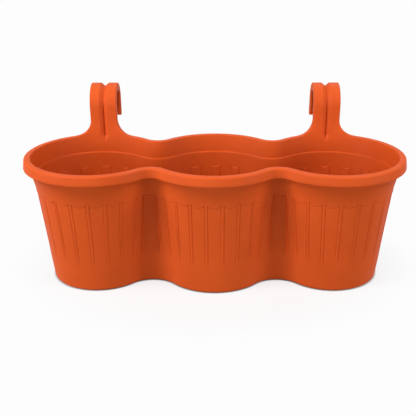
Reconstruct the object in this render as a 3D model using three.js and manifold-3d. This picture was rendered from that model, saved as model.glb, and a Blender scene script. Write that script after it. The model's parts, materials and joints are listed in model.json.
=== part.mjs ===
import * as THREE from "three";
import { mergeVertices } from "three/addons/utils/BufferGeometryUtils.js";
import Module from "manifold-3d";

// Balcony planter: three round cups run together into one thin-walled trough,
// moulded in one piece with its rolled rim and two rail hooks, and a lift-out drain plug in each cup.
// Millimetres, +Z up, front of the planter towards -Y, hooks towards +Y.

const wasm = await Module();
wasm.setup();

// Overall plan: radii of the rim's outermost outline and of the foot's outline
const CUP_PITCH = 175;
const RIM_MID_RADIUS = 106.4;
const RIM_END_RADIUS = 104.4;
const RIM_NECK_RADIUS = 18.6;
const FOOT_MID_RADIUS = 80;
const FOOT_END_RADIUS = 72.8;
const FOOT_NECK_RADIUS = 43.4;

// Heights of the cup, with the shoulder's ledge hung from the rim
const RIM_HEIGHT = 188;
const LEDGE_DROP = 26;
const LEDGE_HEIGHT = RIM_HEIGHT - LEDGE_DROP;
const FLOOR_HEIGHT = 6;

// Wall, floor and rim section
const WALL = 2.6;
const FLOOR_THICKNESS = 2.6;
const WALL_INSET = 13.4;
const RIM_TOP_WIDTH = 10.9;
const RIM_SKIRT_DROP = 14;
const RIM_SKIRT_FLARE = 1.4;
const RIM_OUTER_ROUND = 3;
const RIM_INNER_BREAK = 0.5;
const LEDGE_WIDTH = 2;
const COLLAR_ROOT = 2;
const FOOT_ROUND = 1.5;

// Flutes: shallow scalloped panels with narrow ribs between them
const FLUTE_PITCH = 22.9;
const BACK_FLUTE_PITCH = 33;
const BACK_FLUTE_WIDTH = 15.5;
const RIB_WIDTH = 4.6;
const FLUTE_SLOPE = 1.2;
const FLUTE_DEPTH = 1;
const FLUTE_FOOT = 31;
const SCALLOP_DROP = 28;
const SCALLOP_LOW = LEDGE_HEIGHT - SCALLOP_DROP;
const SCALLOP_SAG = 5.5;
const SCALLOP_STEP = 0.8;
const MID_FLUTES = 3;
const END_FLUTES = 3;
const PATTERN_HEIGHT = 115;

// Raised flat panel down each neck
const NECK_PANEL_WIDTH = 15.5;
const NECK_PANEL_SHIFT = 3;
const NECK_PANEL_PROUD = 2.2;
const NECK_PANEL_BEVEL = 3;

// Rail hooks
const RAIL_GAP = 40;
const HOOK_WIDTH = 41.3;
const HOOK_DEPTH = 11.4;
const HOOK_WALL = 2.6;
const HOOK_RISE = 44.8;
const HOOK_SPRING_HEIGHT = RIM_HEIGHT + HOOK_RISE;
const HOOK_LEG = 25.8;
const HOOK_TIP_HEIGHT = HOOK_SPRING_HEIGHT - HOOK_LEG;
const HOOK_FLARE_RADIUS = 24;
const HOOK_CORNER = 1.3;
const GROOVE_WIDTH = 12.4;
const GROOVE_DEPTH = 5;
const GROOVE_RUN_OUT = 13;
const GROOVE_FOOT = RIM_HEIGHT - GROOVE_RUN_OUT;

// Foot, drain and underside ribs
const FOOT_WIDTH = 5;
const DRAIN_RADIUS = 6.5;
const DRAIN_BOSS_WALL = 3.5;
const BOSS_LIFT = 1.5;
const UNDER_RIB = 2.4;
const UNDER_RIB_LIFT = 2.5;
const UNDER_RIB_ANGLES = [-40, 0, 40];

// Drain plug
const PLUG_CLEARANCE = 0.3;
const PLUG_HEAD_RADIUS = 12;
const PLUG_HEAD_THICKNESS = 2.6;
const PLUG_EDGE = 1;
const PLUG_WALL = 1.8;
const PLUG_TAPER = 0.6;
const PLUG_RECESS = 0.5;
const PLUG_KNOB_RADIUS = 4.6;
const PLUG_KNOB_HEIGHT = 8.5;
const PLUG_KNOB_THICKNESS = 3;
const PLUG_NECK_RADIUS = 2.7;

// How finely round shapes are faceted
const RIM_STEP_DEGREES = 9;
const NECK_STEP_DEGREES = 15;
const ARCH_STEPS = 10;
const FLARE_STEPS = 6;
const ROUND_SEGMENTS = 24;

// Where a front flute's floor and a plain back neck have their stations, as shares of their half width
const FLUTE_SHARES = [-0.62, 0, 0.62];
const NECK_SHARES = [0, 0.4, 0.8];

const rad = THREE.MathUtils.degToRad;
const mix = THREE.MathUtils.lerp;

// Solids from closed three.js geometries, and back
function toSolid(geometry) {
  const bare = geometry.clone();
  bare.deleteAttribute("normal");
  bare.deleteAttribute("uv");
  const merged = mergeVertices(bare, 1e-4);
  return new wasm.Manifold(
    new wasm.Mesh({
      numProp: 3,
      vertProperties: new Float32Array(merged.attributes.position.array),
      triVerts: new Uint32Array(merged.index.array),
    }),
  );
}

function toGeometry(solid) {
  const mesh = solid.getMesh();
  const geometry = new THREE.BufferGeometry();
  geometry.setAttribute("position", new THREE.BufferAttribute(mesh.vertProperties, 3));
  geometry.setIndex(new THREE.BufferAttribute(mesh.triVerts, 1));
  const flat = geometry.toNonIndexed();
  flat.computeVertexNormals();
  return flat;
}

// A closed skin through rings of points. With caps, the first and last ring get a flat face,
// triangulated on the outlines given; without, the last ring joins back to the first.
function loft(rings, caps) {
  const count = rings[0].length;
  const index = [];
  const spans = caps ? rings.length - 1 : rings.length;
  for (let r = 0; r < spans; r++) {
    const here = r * count;
    const next = ((r + 1) % rings.length) * count;
    for (let i = 0; i < count; i++) {
      const j = (i + 1) % count;
      index.push(here + i, here + j, next + j, here + i, next + j, next + i);
    }
  }
  if (caps) {
    const last = (rings.length - 1) * count;
    for (const [a, b, c] of THREE.ShapeUtils.triangulateShape(caps.first, [])) index.push(c, b, a);
    for (const [a, b, c] of THREE.ShapeUtils.triangulateShape(caps.last, [])) {
      index.push(last + a, last + b, last + c);
    }
  }
  const geometry = new THREE.BufferGeometry();
  const positions = rings.flat().flatMap((p) => [p.x, p.y, p.z]);
  geometry.setAttribute("position", new THREE.Float32BufferAttribute(positions, 3));
  geometry.setIndex(index);
  return toSolid(geometry);
}

// Plan outline: three circles joined by concave necks
const rimRadii = { mid: RIM_MID_RADIUS, end: RIM_END_RADIUS, neck: RIM_NECK_RADIUS };
const footRadii = { mid: FOOT_MID_RADIUS, end: FOOT_END_RADIUS, neck: FOOT_NECK_RADIUS };

function inset(radii, d) {
  return { mid: radii.mid - d, end: radii.end - d, neck: radii.neck + d };
}

function mixRadii(a, b, t) {
  return { mid: mix(a.mid, b.mid, t), end: mix(a.end, b.end, t), neck: mix(a.neck, b.neck, t) };
}

// The wall drafts in a straight line from the foot to the ledge under the rim
function wallRadii(z) {
  return mixRadii(footRadii, inset(rimRadii, WALL_INSET), z / LEDGE_HEIGHT);
}

// Where the neck circle touches the two cup circles
function plan(radii) {
  const reachMid = radii.mid + radii.neck;
  const reachEnd = radii.end + radii.neck;
  const x = (reachMid ** 2 - reachEnd ** 2 + CUP_PITCH ** 2) / (2 * CUP_PITCH);
  const y = Math.sqrt(reachMid ** 2 - x ** 2);
  return { ...radii, x, y, midAngle: Math.atan2(x, y), endAngle: Math.atan2(CUP_PITCH - x, y) };
}

// The stretches of a quarter outline, from the middle cup's front or back to the tip of the end cup
const patternPlan = plan(wallRadii(PATTERN_HEIGHT));
const stretches = [
  patternPlan.mid * patternPlan.midAngle,
  patternPlan.neck * patternPlan.midAngle,
  patternPlan.neck * patternPlan.endAngle,
  patternPlan.end * patternPlan.endAngle,
  (patternPlan.end * Math.PI) / 2,
];
const stretchStart = [0];
for (const length of stretches) stretchStart.push(stretchStart.at(-1) + length);
const NECK_MIDDLE = stretchStart[2];
const END_CENTRE = stretchStart[4];
const END_TIP = stretchStart[5];

// A place on the quarter outline, by its length along the outline at the pattern's height
function place(s) {
  const zone = Math.min(
    stretches.length - 1,
    Math.max(0, stretchStart.findIndex((start) => start > s + 1e-9) - 1),
  );
  const safe = s >= END_TIP ? stretches.length - 1 : zone;
  return { zone: safe, t: (s - stretchStart[safe]) / stretches[safe] };
}

// The point and outward normal there, on an outline of any size; x and y are never negative
function quarterPoint(p, { zone, t }) {
  if (zone === 0) {
    const a = t * p.midAngle;
    return { x: p.mid * Math.sin(a), y: p.mid * Math.cos(a), nx: Math.sin(a), ny: Math.cos(a) };
  }
  if (zone === 1 || zone === 2) {
    const a = zone === 1 ? p.midAngle * (t - 1) : p.endAngle * t;
    const nx = -Math.sin(a);
    const ny = Math.cos(a);
    return { x: p.x - p.neck * nx, y: p.y - p.neck * ny, nx, ny };
  }
  const a = zone === 3 ? p.endAngle * (t - 1) : (t * Math.PI) / 2;
  return {
    x: CUP_PITCH + p.end * Math.sin(a),
    y: p.end * Math.cos(a),
    nx: Math.sin(a),
    ny: Math.cos(a),
  };
}

// Stations run round the whole outline, counter-clockwise from the middle of the front
function wholeOutline(front, back) {
  const side = (list, sx, sy) => list.map((station) => ({ ...station, sx, sy }));
  const inner = (list) => list.slice(1, -1);
  return [
    ...side(front, 1, -1),
    ...side(inner(back), 1, 1).reverse(),
    side(back, 1, 1)[0],
    ...side(inner(back), -1, 1),
    ...side(front, -1, -1).slice(1).reverse(),
  ];
}

function ringPoint(p, station, z, proud) {
  const { x, y, nx, ny } = quarterPoint(p, station);
  return new THREE.Vector3(
    station.sx * (x + nx * proud),
    station.sy * (y + ny * proud),
    z,
  );
}

const flatOutline = (ring) => ring.map((p) => new THREE.Vector2(p.x, p.y));

// Plain stations for the pieces without flutes
function plainQuarter() {
  const stepsAlong = (angle, stepDegrees) => Math.max(1, Math.round(angle / rad(stepDegrees)));
  const steps = [
    stepsAlong(patternPlan.midAngle, RIM_STEP_DEGREES),
    stepsAlong(patternPlan.midAngle, NECK_STEP_DEGREES),
    stepsAlong(patternPlan.endAngle, NECK_STEP_DEGREES),
    stepsAlong(patternPlan.endAngle, RIM_STEP_DEGREES),
    stepsAlong(Math.PI / 2, RIM_STEP_DEGREES),
  ];
  const list = steps.flatMap((n, zone) => Array.from({ length: n }, (_, i) => ({ zone, t: i / n })));
  return [...list, { zone: 4, t: 1 }];
}

// Fluted stations: each has its relief (0 on the plain wall, -1 on a flute's floor, 1 on a neck panel)
// and the height at which the relief ends under the plain band
const fluteHalf = (FLUTE_PITCH - RIB_WIDTH - FLUTE_SLOPE) / 2;
const scallopRadius = (fluteHalf ** 2 + SCALLOP_SAG ** 2) / (2 * SCALLOP_SAG);
const scallopTop = SCALLOP_LOW + SCALLOP_SAG;

function scallopHeight(share) {
  return SCALLOP_LOW + scallopRadius - Math.sqrt(scallopRadius ** 2 - (share * fluteHalf) ** 2);
}

const land = (s) => ({ s, relief: 0, top: scallopTop, step: SCALLOP_STEP });

function flute(centre, half, innerShares) {
  const floor = (share) => ({
    s: centre + share * half,
    relief: -1,
    top: scallopHeight(share),
    step: SCALLOP_STEP,
  });
  return [
    land(centre - half - FLUTE_SLOPE),
    ...[-1, ...innerShares, 1].map(floor),
    land(centre + half + FLUTE_SLOPE),
  ];
}

const neckPanelHalf = NECK_PANEL_WIDTH / 2;
const neckPanelCentre = NECK_MIDDLE + NECK_PANEL_SHIFT;

function neckPanel() {
  return [-1, -0.5, 0, 0.5, 1].map((share) => ({
    s: neckPanelCentre + share * neckPanelHalf,
    relief: 1,
    share,
    top: scallopTop,
    step: NECK_PANEL_BEVEL,
  }));
}

// The flute beside a neck reaches from the last rib to the foot of the neck panel's bevel
function neckFlute(rib, towards) {
  const start = rib + (towards * (RIB_WIDTH + FLUTE_SLOPE)) / 2;
  const end = neckPanelCentre - towards * (neckPanelHalf + NECK_PANEL_BEVEL);
  const list = flute((start + end) / 2, Math.abs(end - start) / 2, [0]);
  return towards > 0 ? list.slice(0, -1) : list.slice(1);
}

function onQuarter(list) {
  const inside = list.filter(({ s }) => s > -1e-6 && s < END_TIP + 1e-6);
  return inside.map((station) => ({ ...station, ...place(station.s) }));
}

const range = (count) => Array.from({ length: count }, (_, i) => i);

function frontQuarter() {
  const outerCount = Math.floor((END_TIP - END_CENTRE) / FLUTE_PITCH);
  const outerPitch = (END_TIP - END_CENTRE) / (outerCount + 0.5);
  const outerHalf = fluteHalf + (outerPitch - FLUTE_PITCH) / 2;
  return onQuarter([
    ...range(MID_FLUTES + 1).flatMap((k) => flute(k * FLUTE_PITCH, fluteHalf, FLUTE_SHARES)),
    ...neckFlute((MID_FLUTES + 0.5) * FLUTE_PITCH, 1),
    ...neckPanel(),
    ...neckFlute(END_CENTRE - END_FLUTES * FLUTE_PITCH, -1),
    ...range(END_FLUTES)
      .reverse()
      .flatMap((k) => flute(END_CENTRE - (k + 0.5) * FLUTE_PITCH, fluteHalf, FLUTE_SHARES)),
    ...range(outerCount + 1).flatMap((k) =>
      flute(END_CENTRE + (k + 0.5) * outerPitch, outerHalf, FLUTE_SHARES),
    ),
  ]);
}

// The back has its flutes further apart, with plain lands between them and plain necks
function backQuarter() {
  const half = BACK_FLUTE_WIDTH / 2;
  const outerCount = Math.round((END_TIP - END_CENTRE) / BACK_FLUTE_PITCH);
  const outerPitch = (END_TIP - END_CENTRE) / outerCount;
  const [, midSide, , endSide] = stretchStart;
  return onQuarter([
    ...flute(0, half, [0]),
    ...flute(BACK_FLUTE_PITCH, half, [0]),
    land(BACK_FLUTE_PITCH * 1.5),
    ...NECK_SHARES.map((share) => land(mix(midSide, NECK_MIDDLE, share))),
    ...NECK_SHARES.toReversed().map((share) => land(mix(endSide, NECK_MIDDLE, share))),
    land(END_CENTRE - BACK_FLUTE_PITCH * 1.5),
    ...flute(END_CENTRE - BACK_FLUTE_PITCH, half, [0]),
    land(END_CENTRE - BACK_FLUTE_PITCH / 2),
    ...range(outerCount + 1).flatMap((k) => [
      ...flute(END_CENTRE + k * outerPitch, half, [0]),
      land(END_CENTRE + (k + 0.5) * outerPitch),
    ]),
  ]);
}

// How far a station stands proud of the plain wall where its relief is full.
// A neck panel is flat, so it follows the chord of the hollow neck.
function fullRelief(station, p) {
  if (station.relief < 1) return station.relief * FLUTE_DEPTH;
  const angle = neckPanelHalf / patternPlan.neck;
  const chord = Math.cos(angle) / Math.cos(angle * station.share);
  return NECK_PANEL_PROUD + p.neck * (1 - chord);
}

const flutedStations = wholeOutline(frontQuarter(), backQuarter());
const plainStations = wholeOutline(plainQuarter(), plainQuarter());

// The wall and floor: up the outside, over the top of the wall and down the inside to the floor
function wallRing(z, depth, relief = 0) {
  return flutedStations.map((station) => {
    const height = typeof z === "function" ? z(station) : z;
    const p = plan(inset(wallRadii(height), depth));
    return ringPoint(p, station, height, relief * fullRelief(station, p));
  });
}

function makeWall() {
  const scallop = (station) => station.top;
  const band = (station) => station.top + station.step;
  const rings = [
    wallRing(0, FOOT_ROUND),
    wallRing(FOOT_ROUND, 0),
    wallRing(FLUTE_FOOT, 0),
    wallRing(scallop, 0, 1),
    wallRing(band, 0),
    wallRing(LEDGE_HEIGHT, -LEDGE_WIDTH),
    wallRing(LEDGE_HEIGHT, WALL),
    wallRing(band, WALL),
    wallRing(scallop, WALL, 1),
    wallRing(FLUTE_FOOT, WALL),
    wallRing(FLOOR_HEIGHT + FLOOR_THICKNESS, WALL),
  ];
  return loft(rings, { first: flatOutline(rings[0]), last: flatOutline(rings.at(-1)) });
}

// A ring of plain section round the whole outline, from (inset, height) pairs of a closed profile
function rimRing(depth, z) {
  const p = plan(inset(rimRadii, depth));
  return plainStations.map((station) => ringPoint(p, station, z, 0));
}

// The rolled rim: a skirt that leans out, a flat top and a collar rooted in the shoulder of the wall
const collarOuter = WALL_INSET - LEDGE_WIDTH;
const collarInner = collarOuter + WALL;

function makeRim() {
  const round = (angle) => [
    RIM_SKIRT_FLARE + RIM_OUTER_ROUND * (1 - Math.cos(rad(angle))),
    RIM_HEIGHT - RIM_OUTER_ROUND * (1 - Math.sin(rad(angle))),
  ];
  const profile = [
    [0, RIM_HEIGHT - RIM_SKIRT_DROP],
    round(0),
    round(45),
    round(90),
    [RIM_TOP_WIDTH - RIM_INNER_BREAK, RIM_HEIGHT],
    [RIM_TOP_WIDTH, RIM_HEIGHT - RIM_INNER_BREAK],
    [collarInner, LEDGE_HEIGHT],
    [(collarInner + collarOuter) / 2, LEDGE_HEIGHT - COLLAR_ROOT],
    [collarOuter, LEDGE_HEIGHT],
    [RIM_TOP_WIDTH - WALL, RIM_HEIGHT - WALL],
    [RIM_SKIRT_FLARE + WALL, RIM_HEIGHT - WALL],
    [WALL, RIM_HEIGHT - RIM_SKIRT_DROP],
  ];
  return loft(profile.map(([depth, z]) => rimRing(depth, z)));
}

// Rail hooks: a channel section, open towards the rail, swept up from the rim and over an arch
const hookHalf = HOOK_WIDTH / 2;
const archRadius = RAIL_GAP / 2 + HOOK_DEPTH;
const hookFront = RIM_END_RADIUS - RIM_TOP_WIDTH;
const hookBack = hookFront + 2 * archRadius;
const flareTop = RIM_HEIGHT + HOOK_FLARE_RADIUS;

// The groove's flanks keep one slope, and the wall behind them keeps the hook's thickness
const grooveSlope = GROOVE_WIDTH / 2 / GROOVE_DEPTH;
const grooveBehind = (HOOK_WALL * Math.hypot(1, grooveSlope)) / grooveSlope;
const grooveHalf = (depth) => depth * grooveSlope;

const mirrored = (points) => points.map(([across, depth]) => [-across, depth]).reverse();

// The hook's outer face and sides as (across, depth) pairs, with the groove down the face
function hookFace(half) {
  return [
    [GROOVE_WIDTH / 2, 0],
    [half - HOOK_CORNER, 0],
    [half, HOOK_CORNER],
    [half, HOOK_DEPTH],
  ];
}

function solidSection(half) {
  const face = hookFace(half);
  return [[0, GROOVE_DEPTH], ...face, ...mirrored(face)];
}

function channelSection(half, pocketHalf) {
  const face = hookFace(half);
  const pocket = [
    [pocketHalf, HOOK_DEPTH],
    [pocketHalf, HOOK_WALL],
    [grooveHalf(GROOVE_DEPTH + grooveBehind - HOOK_WALL), HOOK_WALL],
  ];
  const back = [0, GROOVE_DEPTH + grooveBehind];
  return [[0, GROOVE_DEPTH], ...face, ...pocket, back, ...mirrored(pocket), ...mirrored(face)];
}

// Places a section on the outer face at (y, z), with its depth along (dy, dz).
// Near the rim the face bends round with the cup's collar, and the section is no deeper than the rim.
function placeSection(section, cupX, { y, z, dy = 1, dz = 0, bend = 0 }) {
  const deepest = mix(HOOK_DEPTH, RIM_TOP_WIDTH - RIM_SKIRT_FLARE - RIM_OUTER_ROUND / 4, bend);
  return section.map(([across, depth]) => {
    const bent = Math.sqrt(hookFront ** 2 - across ** 2) - hookFront;
    const inward = Math.min(depth, deepest);
    return new THREE.Vector3(cupX + across, y + bend * bent + inward * dy, z + inward * dz);
  });
}

function straightPart(z) {
  const rise = THREE.MathUtils.smoothstep(z, RIM_HEIGHT, flareTop);
  return { y: hookFront, z, bend: 1 - rise };
}

function archPart(angle) {
  return {
    y: hookFront + archRadius * (1 - Math.cos(angle)),
    z: HOOK_SPRING_HEIGHT + archRadius * Math.sin(angle),
    dy: Math.cos(angle),
    dz: -Math.sin(angle),
  };
}

// A closed skin through sections placed along a path
function sweep(stations, cupX) {
  const outline = ({ section }) => section.map(([across, depth]) => new THREE.Vector2(across, depth));
  const rings = stations.map(({ section, at }) => placeSection(section, cupX, at));
  return loft(rings, { first: outline(stations[0]), last: outline(stations.at(-1)) });
}

function makeHook(cupX) {
  const channel = channelSection(hookHalf, hookHalf - HOOK_WALL);
  const flare = range(FLARE_STEPS + 1).map((i) => {
    const angle = rad((i / FLARE_STEPS) * 90);
    const drop = HOOK_FLARE_RADIUS * Math.cos(angle);
    const spread = HOOK_FLARE_RADIUS * (1 - Math.sin(angle));
    const pocketSpread =
      HOOK_FLARE_RADIUS - Math.sqrt((HOOK_FLARE_RADIUS + HOOK_WALL) ** 2 - drop ** 2);
    const section = channelSection(hookHalf + spread, hookHalf + pocketSpread);
    return { section, at: straightPart(flareTop - drop) };
  });
  const rooted = { ...flare[0].at, z: RIM_HEIGHT - WALL / 2 };
  const arch = range(ARCH_STEPS + 1).map((i) => archPart(rad((i / ARCH_STEPS) * 180)));
  const backLeg = (z) => ({ ...archPart(Math.PI), z });
  const body = sweep(
    [
      { section: flare[0].section, at: rooted },
      ...flare,
      ...arch.map((at) => ({ section: channel, at })),
      { section: channel, at: backLeg(HOOK_TIP_HEIGHT) },
    ],
    cupX,
  );
  const tipPlate = sweep(
    [HOOK_TIP_HEIGHT + HOOK_WALL, HOOK_TIP_HEIGHT].map((z) => ({
      section: solidSection(hookHalf),
      at: backLeg(z),
    })),
    cupX,
  );
  return body.add(tipPlate);
}

// Below the hook the groove runs on down the collar to a point, with a matching wall behind it
function collarFace(z) {
  const top = RIM_HEIGHT - RIM_INNER_BREAK;
  return RIM_END_RADIUS - mix(RIM_TOP_WIDTH, collarInner, (top - z) / (top - LEDGE_HEIGHT));
}

const runOutDepth = (z) => (GROOVE_DEPTH * (z - GROOVE_FOOT)) / (RIM_HEIGHT - GROOVE_FOOT);

function runOutWedge(cupX, heights, front, behind) {
  const stations = heights.map((z) => {
    const apex = runOutDepth(z) + behind;
    const half = grooveHalf(apex - front);
    return {
      section: [
        [-half, front],
        [half, front],
        [0, apex],
      ],
      at: { y: collarFace(z), z },
    };
  });
  return sweep(stations, cupX);
}

const grooveBacking = (cupX) =>
  runOutWedge(cupX, [GROOVE_FOOT - WALL, RIM_HEIGHT - WALL / 2], WALL / 2, grooveBehind);
const grooveCut = (cupX) => runOutWedge(cupX, [GROOVE_FOOT - WALL, RIM_HEIGHT], -GROOVE_DEPTH, 0);

// Round parts stand on their own axis, from (radius, height) pairs that start and end on it
function turned(profile) {
  const points = profile.map(([radius, height]) => new THREE.Vector2(radius, height));
  return new THREE.LatheGeometry(points, ROUND_SEGMENTS).rotateX(Math.PI / 2);
}

function post(x, radius, bottom, top) {
  const profile = [
    [0, bottom],
    [radius, bottom],
    [radius, top],
    [0, top],
  ];
  return toSolid(turned(profile).translate(x, 0, 0));
}

// Underside: a hollow inside the foot ring, stiffened by a spine, radial ribs and a boss at each drain
const cupCentres = [-CUP_PITCH, 0, CUP_PITCH];
const bossRadius = DRAIN_RADIUS + DRAIN_BOSS_WALL;

function footHollow() {
  const p = plan(inset(footRadii, FOOT_WIDTH));
  const ring = (z) => plainStations.map((station) => ringPoint(p, station, z, 0));
  const rings = [ring(-FOOT_ROUND), ring(FLOOR_HEIGHT)];
  return loft(rings, { first: flatOutline(rings[0]), last: flatOutline(rings[1]) });
}

function rib(x, degrees, from, to) {
  const height = FLOOR_HEIGHT + FLOOR_THICKNESS / 2 - UNDER_RIB_LIFT;
  const bar = new THREE.BoxGeometry(to - from, UNDER_RIB, height);
  bar.translate((from + to) / 2, 0, UNDER_RIB_LIFT + height / 2);
  return toSolid(bar.rotateZ(rad(degrees)).translate(x, 0, 0));
}

function undersideRibs() {
  const cupRadii = [FOOT_END_RADIUS, FOOT_MID_RADIUS, FOOT_END_RADIUS];
  const spine = CUP_PITCH + FOOT_END_RADIUS - FOOT_WIDTH / 2;
  const star = (x, radius) =>
    UNDER_RIB_ANGLES.flatMap((degrees) =>
      [90, 270].map((side) => rib(x, side + degrees, 0, radius - FOOT_WIDTH / 2)),
    );
  return [rib(0, 0, -spine, spine), ...cupCentres.flatMap((x, i) => star(x, cupRadii[i]))];
}

function makeBody() {
  const hookCentres = [-CUP_PITCH, CUP_PITCH];
  const bosses = cupCentres.map((x) => post(x, bossRadius, BOSS_LIFT, FLOOR_HEIGHT + FLOOR_THICKNESS / 2));
  const drains = cupCentres.map((x) => post(x, DRAIN_RADIUS, -FOOT_ROUND, RIM_HEIGHT));
  const shell = wasm.Manifold.union([makeWall(), makeRim(), ...hookCentres.map(makeHook)]);
  return shell
    .subtract(footHollow())
    .add(wasm.Manifold.union([...undersideRibs(), ...bosses, ...hookCentres.map(grooveBacking)]))
    .subtract(wasm.Manifold.union([...drains, ...hookCentres.map(grooveCut)]));
}

// Drain plug: a tapered hollow shank in the drain, a head that lies on the floor and a knob to pull
const floorTop = FLOOR_HEIGHT + FLOOR_THICKNESS;

function makePlug() {
  const shank = DRAIN_RADIUS - PLUG_CLEARANCE;
  const shankFoot = BOSS_LIFT + PLUG_RECESS;
  const headFoot = floorTop + PLUG_CLEARANCE;
  const headTop = headFoot + PLUG_HEAD_THICKNESS;
  const knobTop = headTop + PLUG_KNOB_HEIGHT;
  const knobFoot = knobTop - PLUG_KNOB_THICKNESS;
  return turned([
    [0, headFoot],
    [shank - PLUG_WALL, headFoot],
    [shank - PLUG_TAPER - PLUG_WALL, shankFoot],
    [shank - PLUG_TAPER, shankFoot],
    [shank, headFoot],
    [PLUG_HEAD_RADIUS, headFoot],
    [PLUG_HEAD_RADIUS, headTop - PLUG_EDGE],
    [PLUG_HEAD_RADIUS - PLUG_EDGE, headTop],
    [PLUG_NECK_RADIUS, headTop],
    [PLUG_NECK_RADIUS, knobFoot - PLUG_EDGE],
    [PLUG_KNOB_RADIUS, knobFoot],
    [PLUG_KNOB_RADIUS, knobTop - PLUG_EDGE],
    [PLUG_KNOB_RADIUS - PLUG_EDGE, knobTop],
    [0, knobTop],
  ]);
}

// The assembly stands with the middle of its overall width and depth on the origin
const terracotta = { roughness: 0.45, metalness: 0 };

function part(name, geometry, color) {
  const mesh = new THREE.Mesh(geometry, new THREE.MeshStandardMaterial({ ...terracotta, color }));
  mesh.name = name;
  return mesh;
}

const planter = new THREE.Group();
planter.name = "balcony_planter";
planter.position.y = (RIM_MID_RADIUS - hookBack) / 2;
planter.add(part("planter_body", toGeometry(makeBody()), 0xd2572b));

for (const [i, side] of ["left", "centre", "right"].entries()) {
  const plug = part(`drain_plug_${side}`, makePlug(), 0xb84a24);
  plug.position.x = cupCentres[i];
  planter.add(plug);
}

export default planter;
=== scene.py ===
import json
import logging
import math
from collections.abc import Iterable
from dataclasses import dataclass
from enum import Enum

import bmesh
import bpy
import numpy as np
from bpy.types import ID, Material, Node, NodeSocket, NodeTree, Object
from mathutils import Matrix, Vector

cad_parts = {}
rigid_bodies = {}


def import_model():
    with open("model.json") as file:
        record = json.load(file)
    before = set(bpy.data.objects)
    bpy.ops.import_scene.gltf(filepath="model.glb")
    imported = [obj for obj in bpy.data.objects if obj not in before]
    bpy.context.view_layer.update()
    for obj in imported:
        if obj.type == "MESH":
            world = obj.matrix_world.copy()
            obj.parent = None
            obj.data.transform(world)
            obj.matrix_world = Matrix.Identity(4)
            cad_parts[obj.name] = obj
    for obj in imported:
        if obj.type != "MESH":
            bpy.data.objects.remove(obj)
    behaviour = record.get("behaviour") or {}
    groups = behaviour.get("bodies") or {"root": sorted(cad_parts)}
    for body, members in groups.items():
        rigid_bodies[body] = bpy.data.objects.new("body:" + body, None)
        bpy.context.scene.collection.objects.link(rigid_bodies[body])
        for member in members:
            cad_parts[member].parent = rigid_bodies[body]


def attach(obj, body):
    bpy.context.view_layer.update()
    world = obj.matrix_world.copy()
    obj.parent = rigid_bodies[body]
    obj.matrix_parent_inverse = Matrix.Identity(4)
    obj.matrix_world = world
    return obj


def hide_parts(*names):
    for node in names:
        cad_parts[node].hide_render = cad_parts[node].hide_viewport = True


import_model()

log = logging.getLogger("balcony_planter")

Point = tuple[float, float]
MM = 0.001  # in metres; sizes are in millimetres unless a docstring says otherwise
CUP_CENTRES = (-175.0, 0.0, 175.0)
HOOK_CENTRES = (-175.0, 175.0)
ROW_OFFSET = -24.95  # y of the row of cups
NO_PANEL = -1000.0  # where a quarter without a neck panel says that its panel is


# Tools for numbers, meshes and node trees

def smoothstep(value: np.ndarray, low: float, high: float) -> np.ndarray:
    """Ease each number from 0 at low to 1 at high."""
    share = np.clip((value - low) / (high - low), 0.0, 1.0)
    return share * share * (3.0 - 2.0 * share)


def mix(a: float, b: float, share: float) -> float:
    """Return the number that lies share of the way from a to b."""
    return a + (b - a) * share


def quarter_round(start: Point, end: Point, steps: int, turn_first: bool) -> list[Point]:
    """Points of a quarter ellipse between two (depth, height) points.

    Args:
        start: First point of the round.
        end: Last point of the round.
        steps: How many pieces the round is cut into.
        turn_first: True when the round leaves its start along the height.

    Returns:
        The points, both ends included.
    """
    points = []
    for i in range(steps + 1):
        angle = math.pi / 2 * i / steps
        quick, slow = math.sin(angle), 1.0 - math.cos(angle)
        along, up = (slow, quick) if turn_first else (quick, slow)
        points.append((mix(start[0], end[0], along), mix(start[1], end[1], up)))
    return points


def linear(hex_colour: str) -> tuple[float, float, float, float]:
    """Turn an sRGB hex colour to Blender's linear colour.

    Args:
        hex_colour: Six hex digits, such as "D85A2B".

    Returns:
        Red, green, blue and alpha, linear.
    """
    parts = [int(hex_colour[i : i + 2], 16) / 255.0 for i in (0, 2, 4)]
    channels = [c / 12.92 if c <= 0.04045 else ((c + 0.055) / 1.055) ** 2.4 for c in parts]
    return (*channels, 1.0)


def linked(name: str, data: ID) -> Object:
    """Make an object of a mesh, a lamp or a camera, and link it to the scene.

    Args:
        name: Name of the object.
        data: What it shows.

    Returns:
        The new object, at the origin.
    """
    thing = bpy.data.objects.new(name, data)
    bpy.context.scene.collection.objects.link(thing)
    return thing


def new_object(name: str, vertices: np.ndarray, faces: list[list[int]]) -> Object:
    """Make a mesh object from points in millimetres, with its faces turned outwards.

    Args:
        name: Name of the object and its mesh.
        vertices: One (x, y, z) row for each point, in millimetres.
        faces: Vertex numbers of each face.

    Returns:
        The linked object, at the origin.
    """
    mesh = bpy.data.meshes.new(name)
    mesh.from_pydata([tuple(row) for row in vertices * MM], [], faces)
    mesh.update()
    piece = linked(name, mesh)
    face_outwards(piece)
    return piece


def face_outwards(piece: Object) -> None:
    """Turn every face of a closed piece outwards.

    Args:
        piece: The piece, whose mesh is changed.
    """
    work = bmesh.new()
    work.from_mesh(piece.data)
    bmesh.ops.recalc_face_normals(work, faces=work.faces)
    work.to_mesh(piece.data)
    work.free()


def skin_faces(rows: int, columns: int) -> list[list[int]]:
    """Faces of a closed skin of rings, with a flat cap on the first and last ring.

    Args:
        rows: Number of rings.
        columns: Number of points in each ring.

    Returns:
        Vertex numbers of the quads and of the two caps.
    """
    faces = []
    for row in range(rows - 1):
        here, above = row * columns, (row + 1) * columns
        for i in range(columns):
            j = (i + 1) % columns
            faces.append([here + i, here + j, above + j, above + i])
    faces.append(list(range(columns))[::-1])
    faces.append([(rows - 1) * columns + i for i in range(columns)])
    return faces


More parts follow.
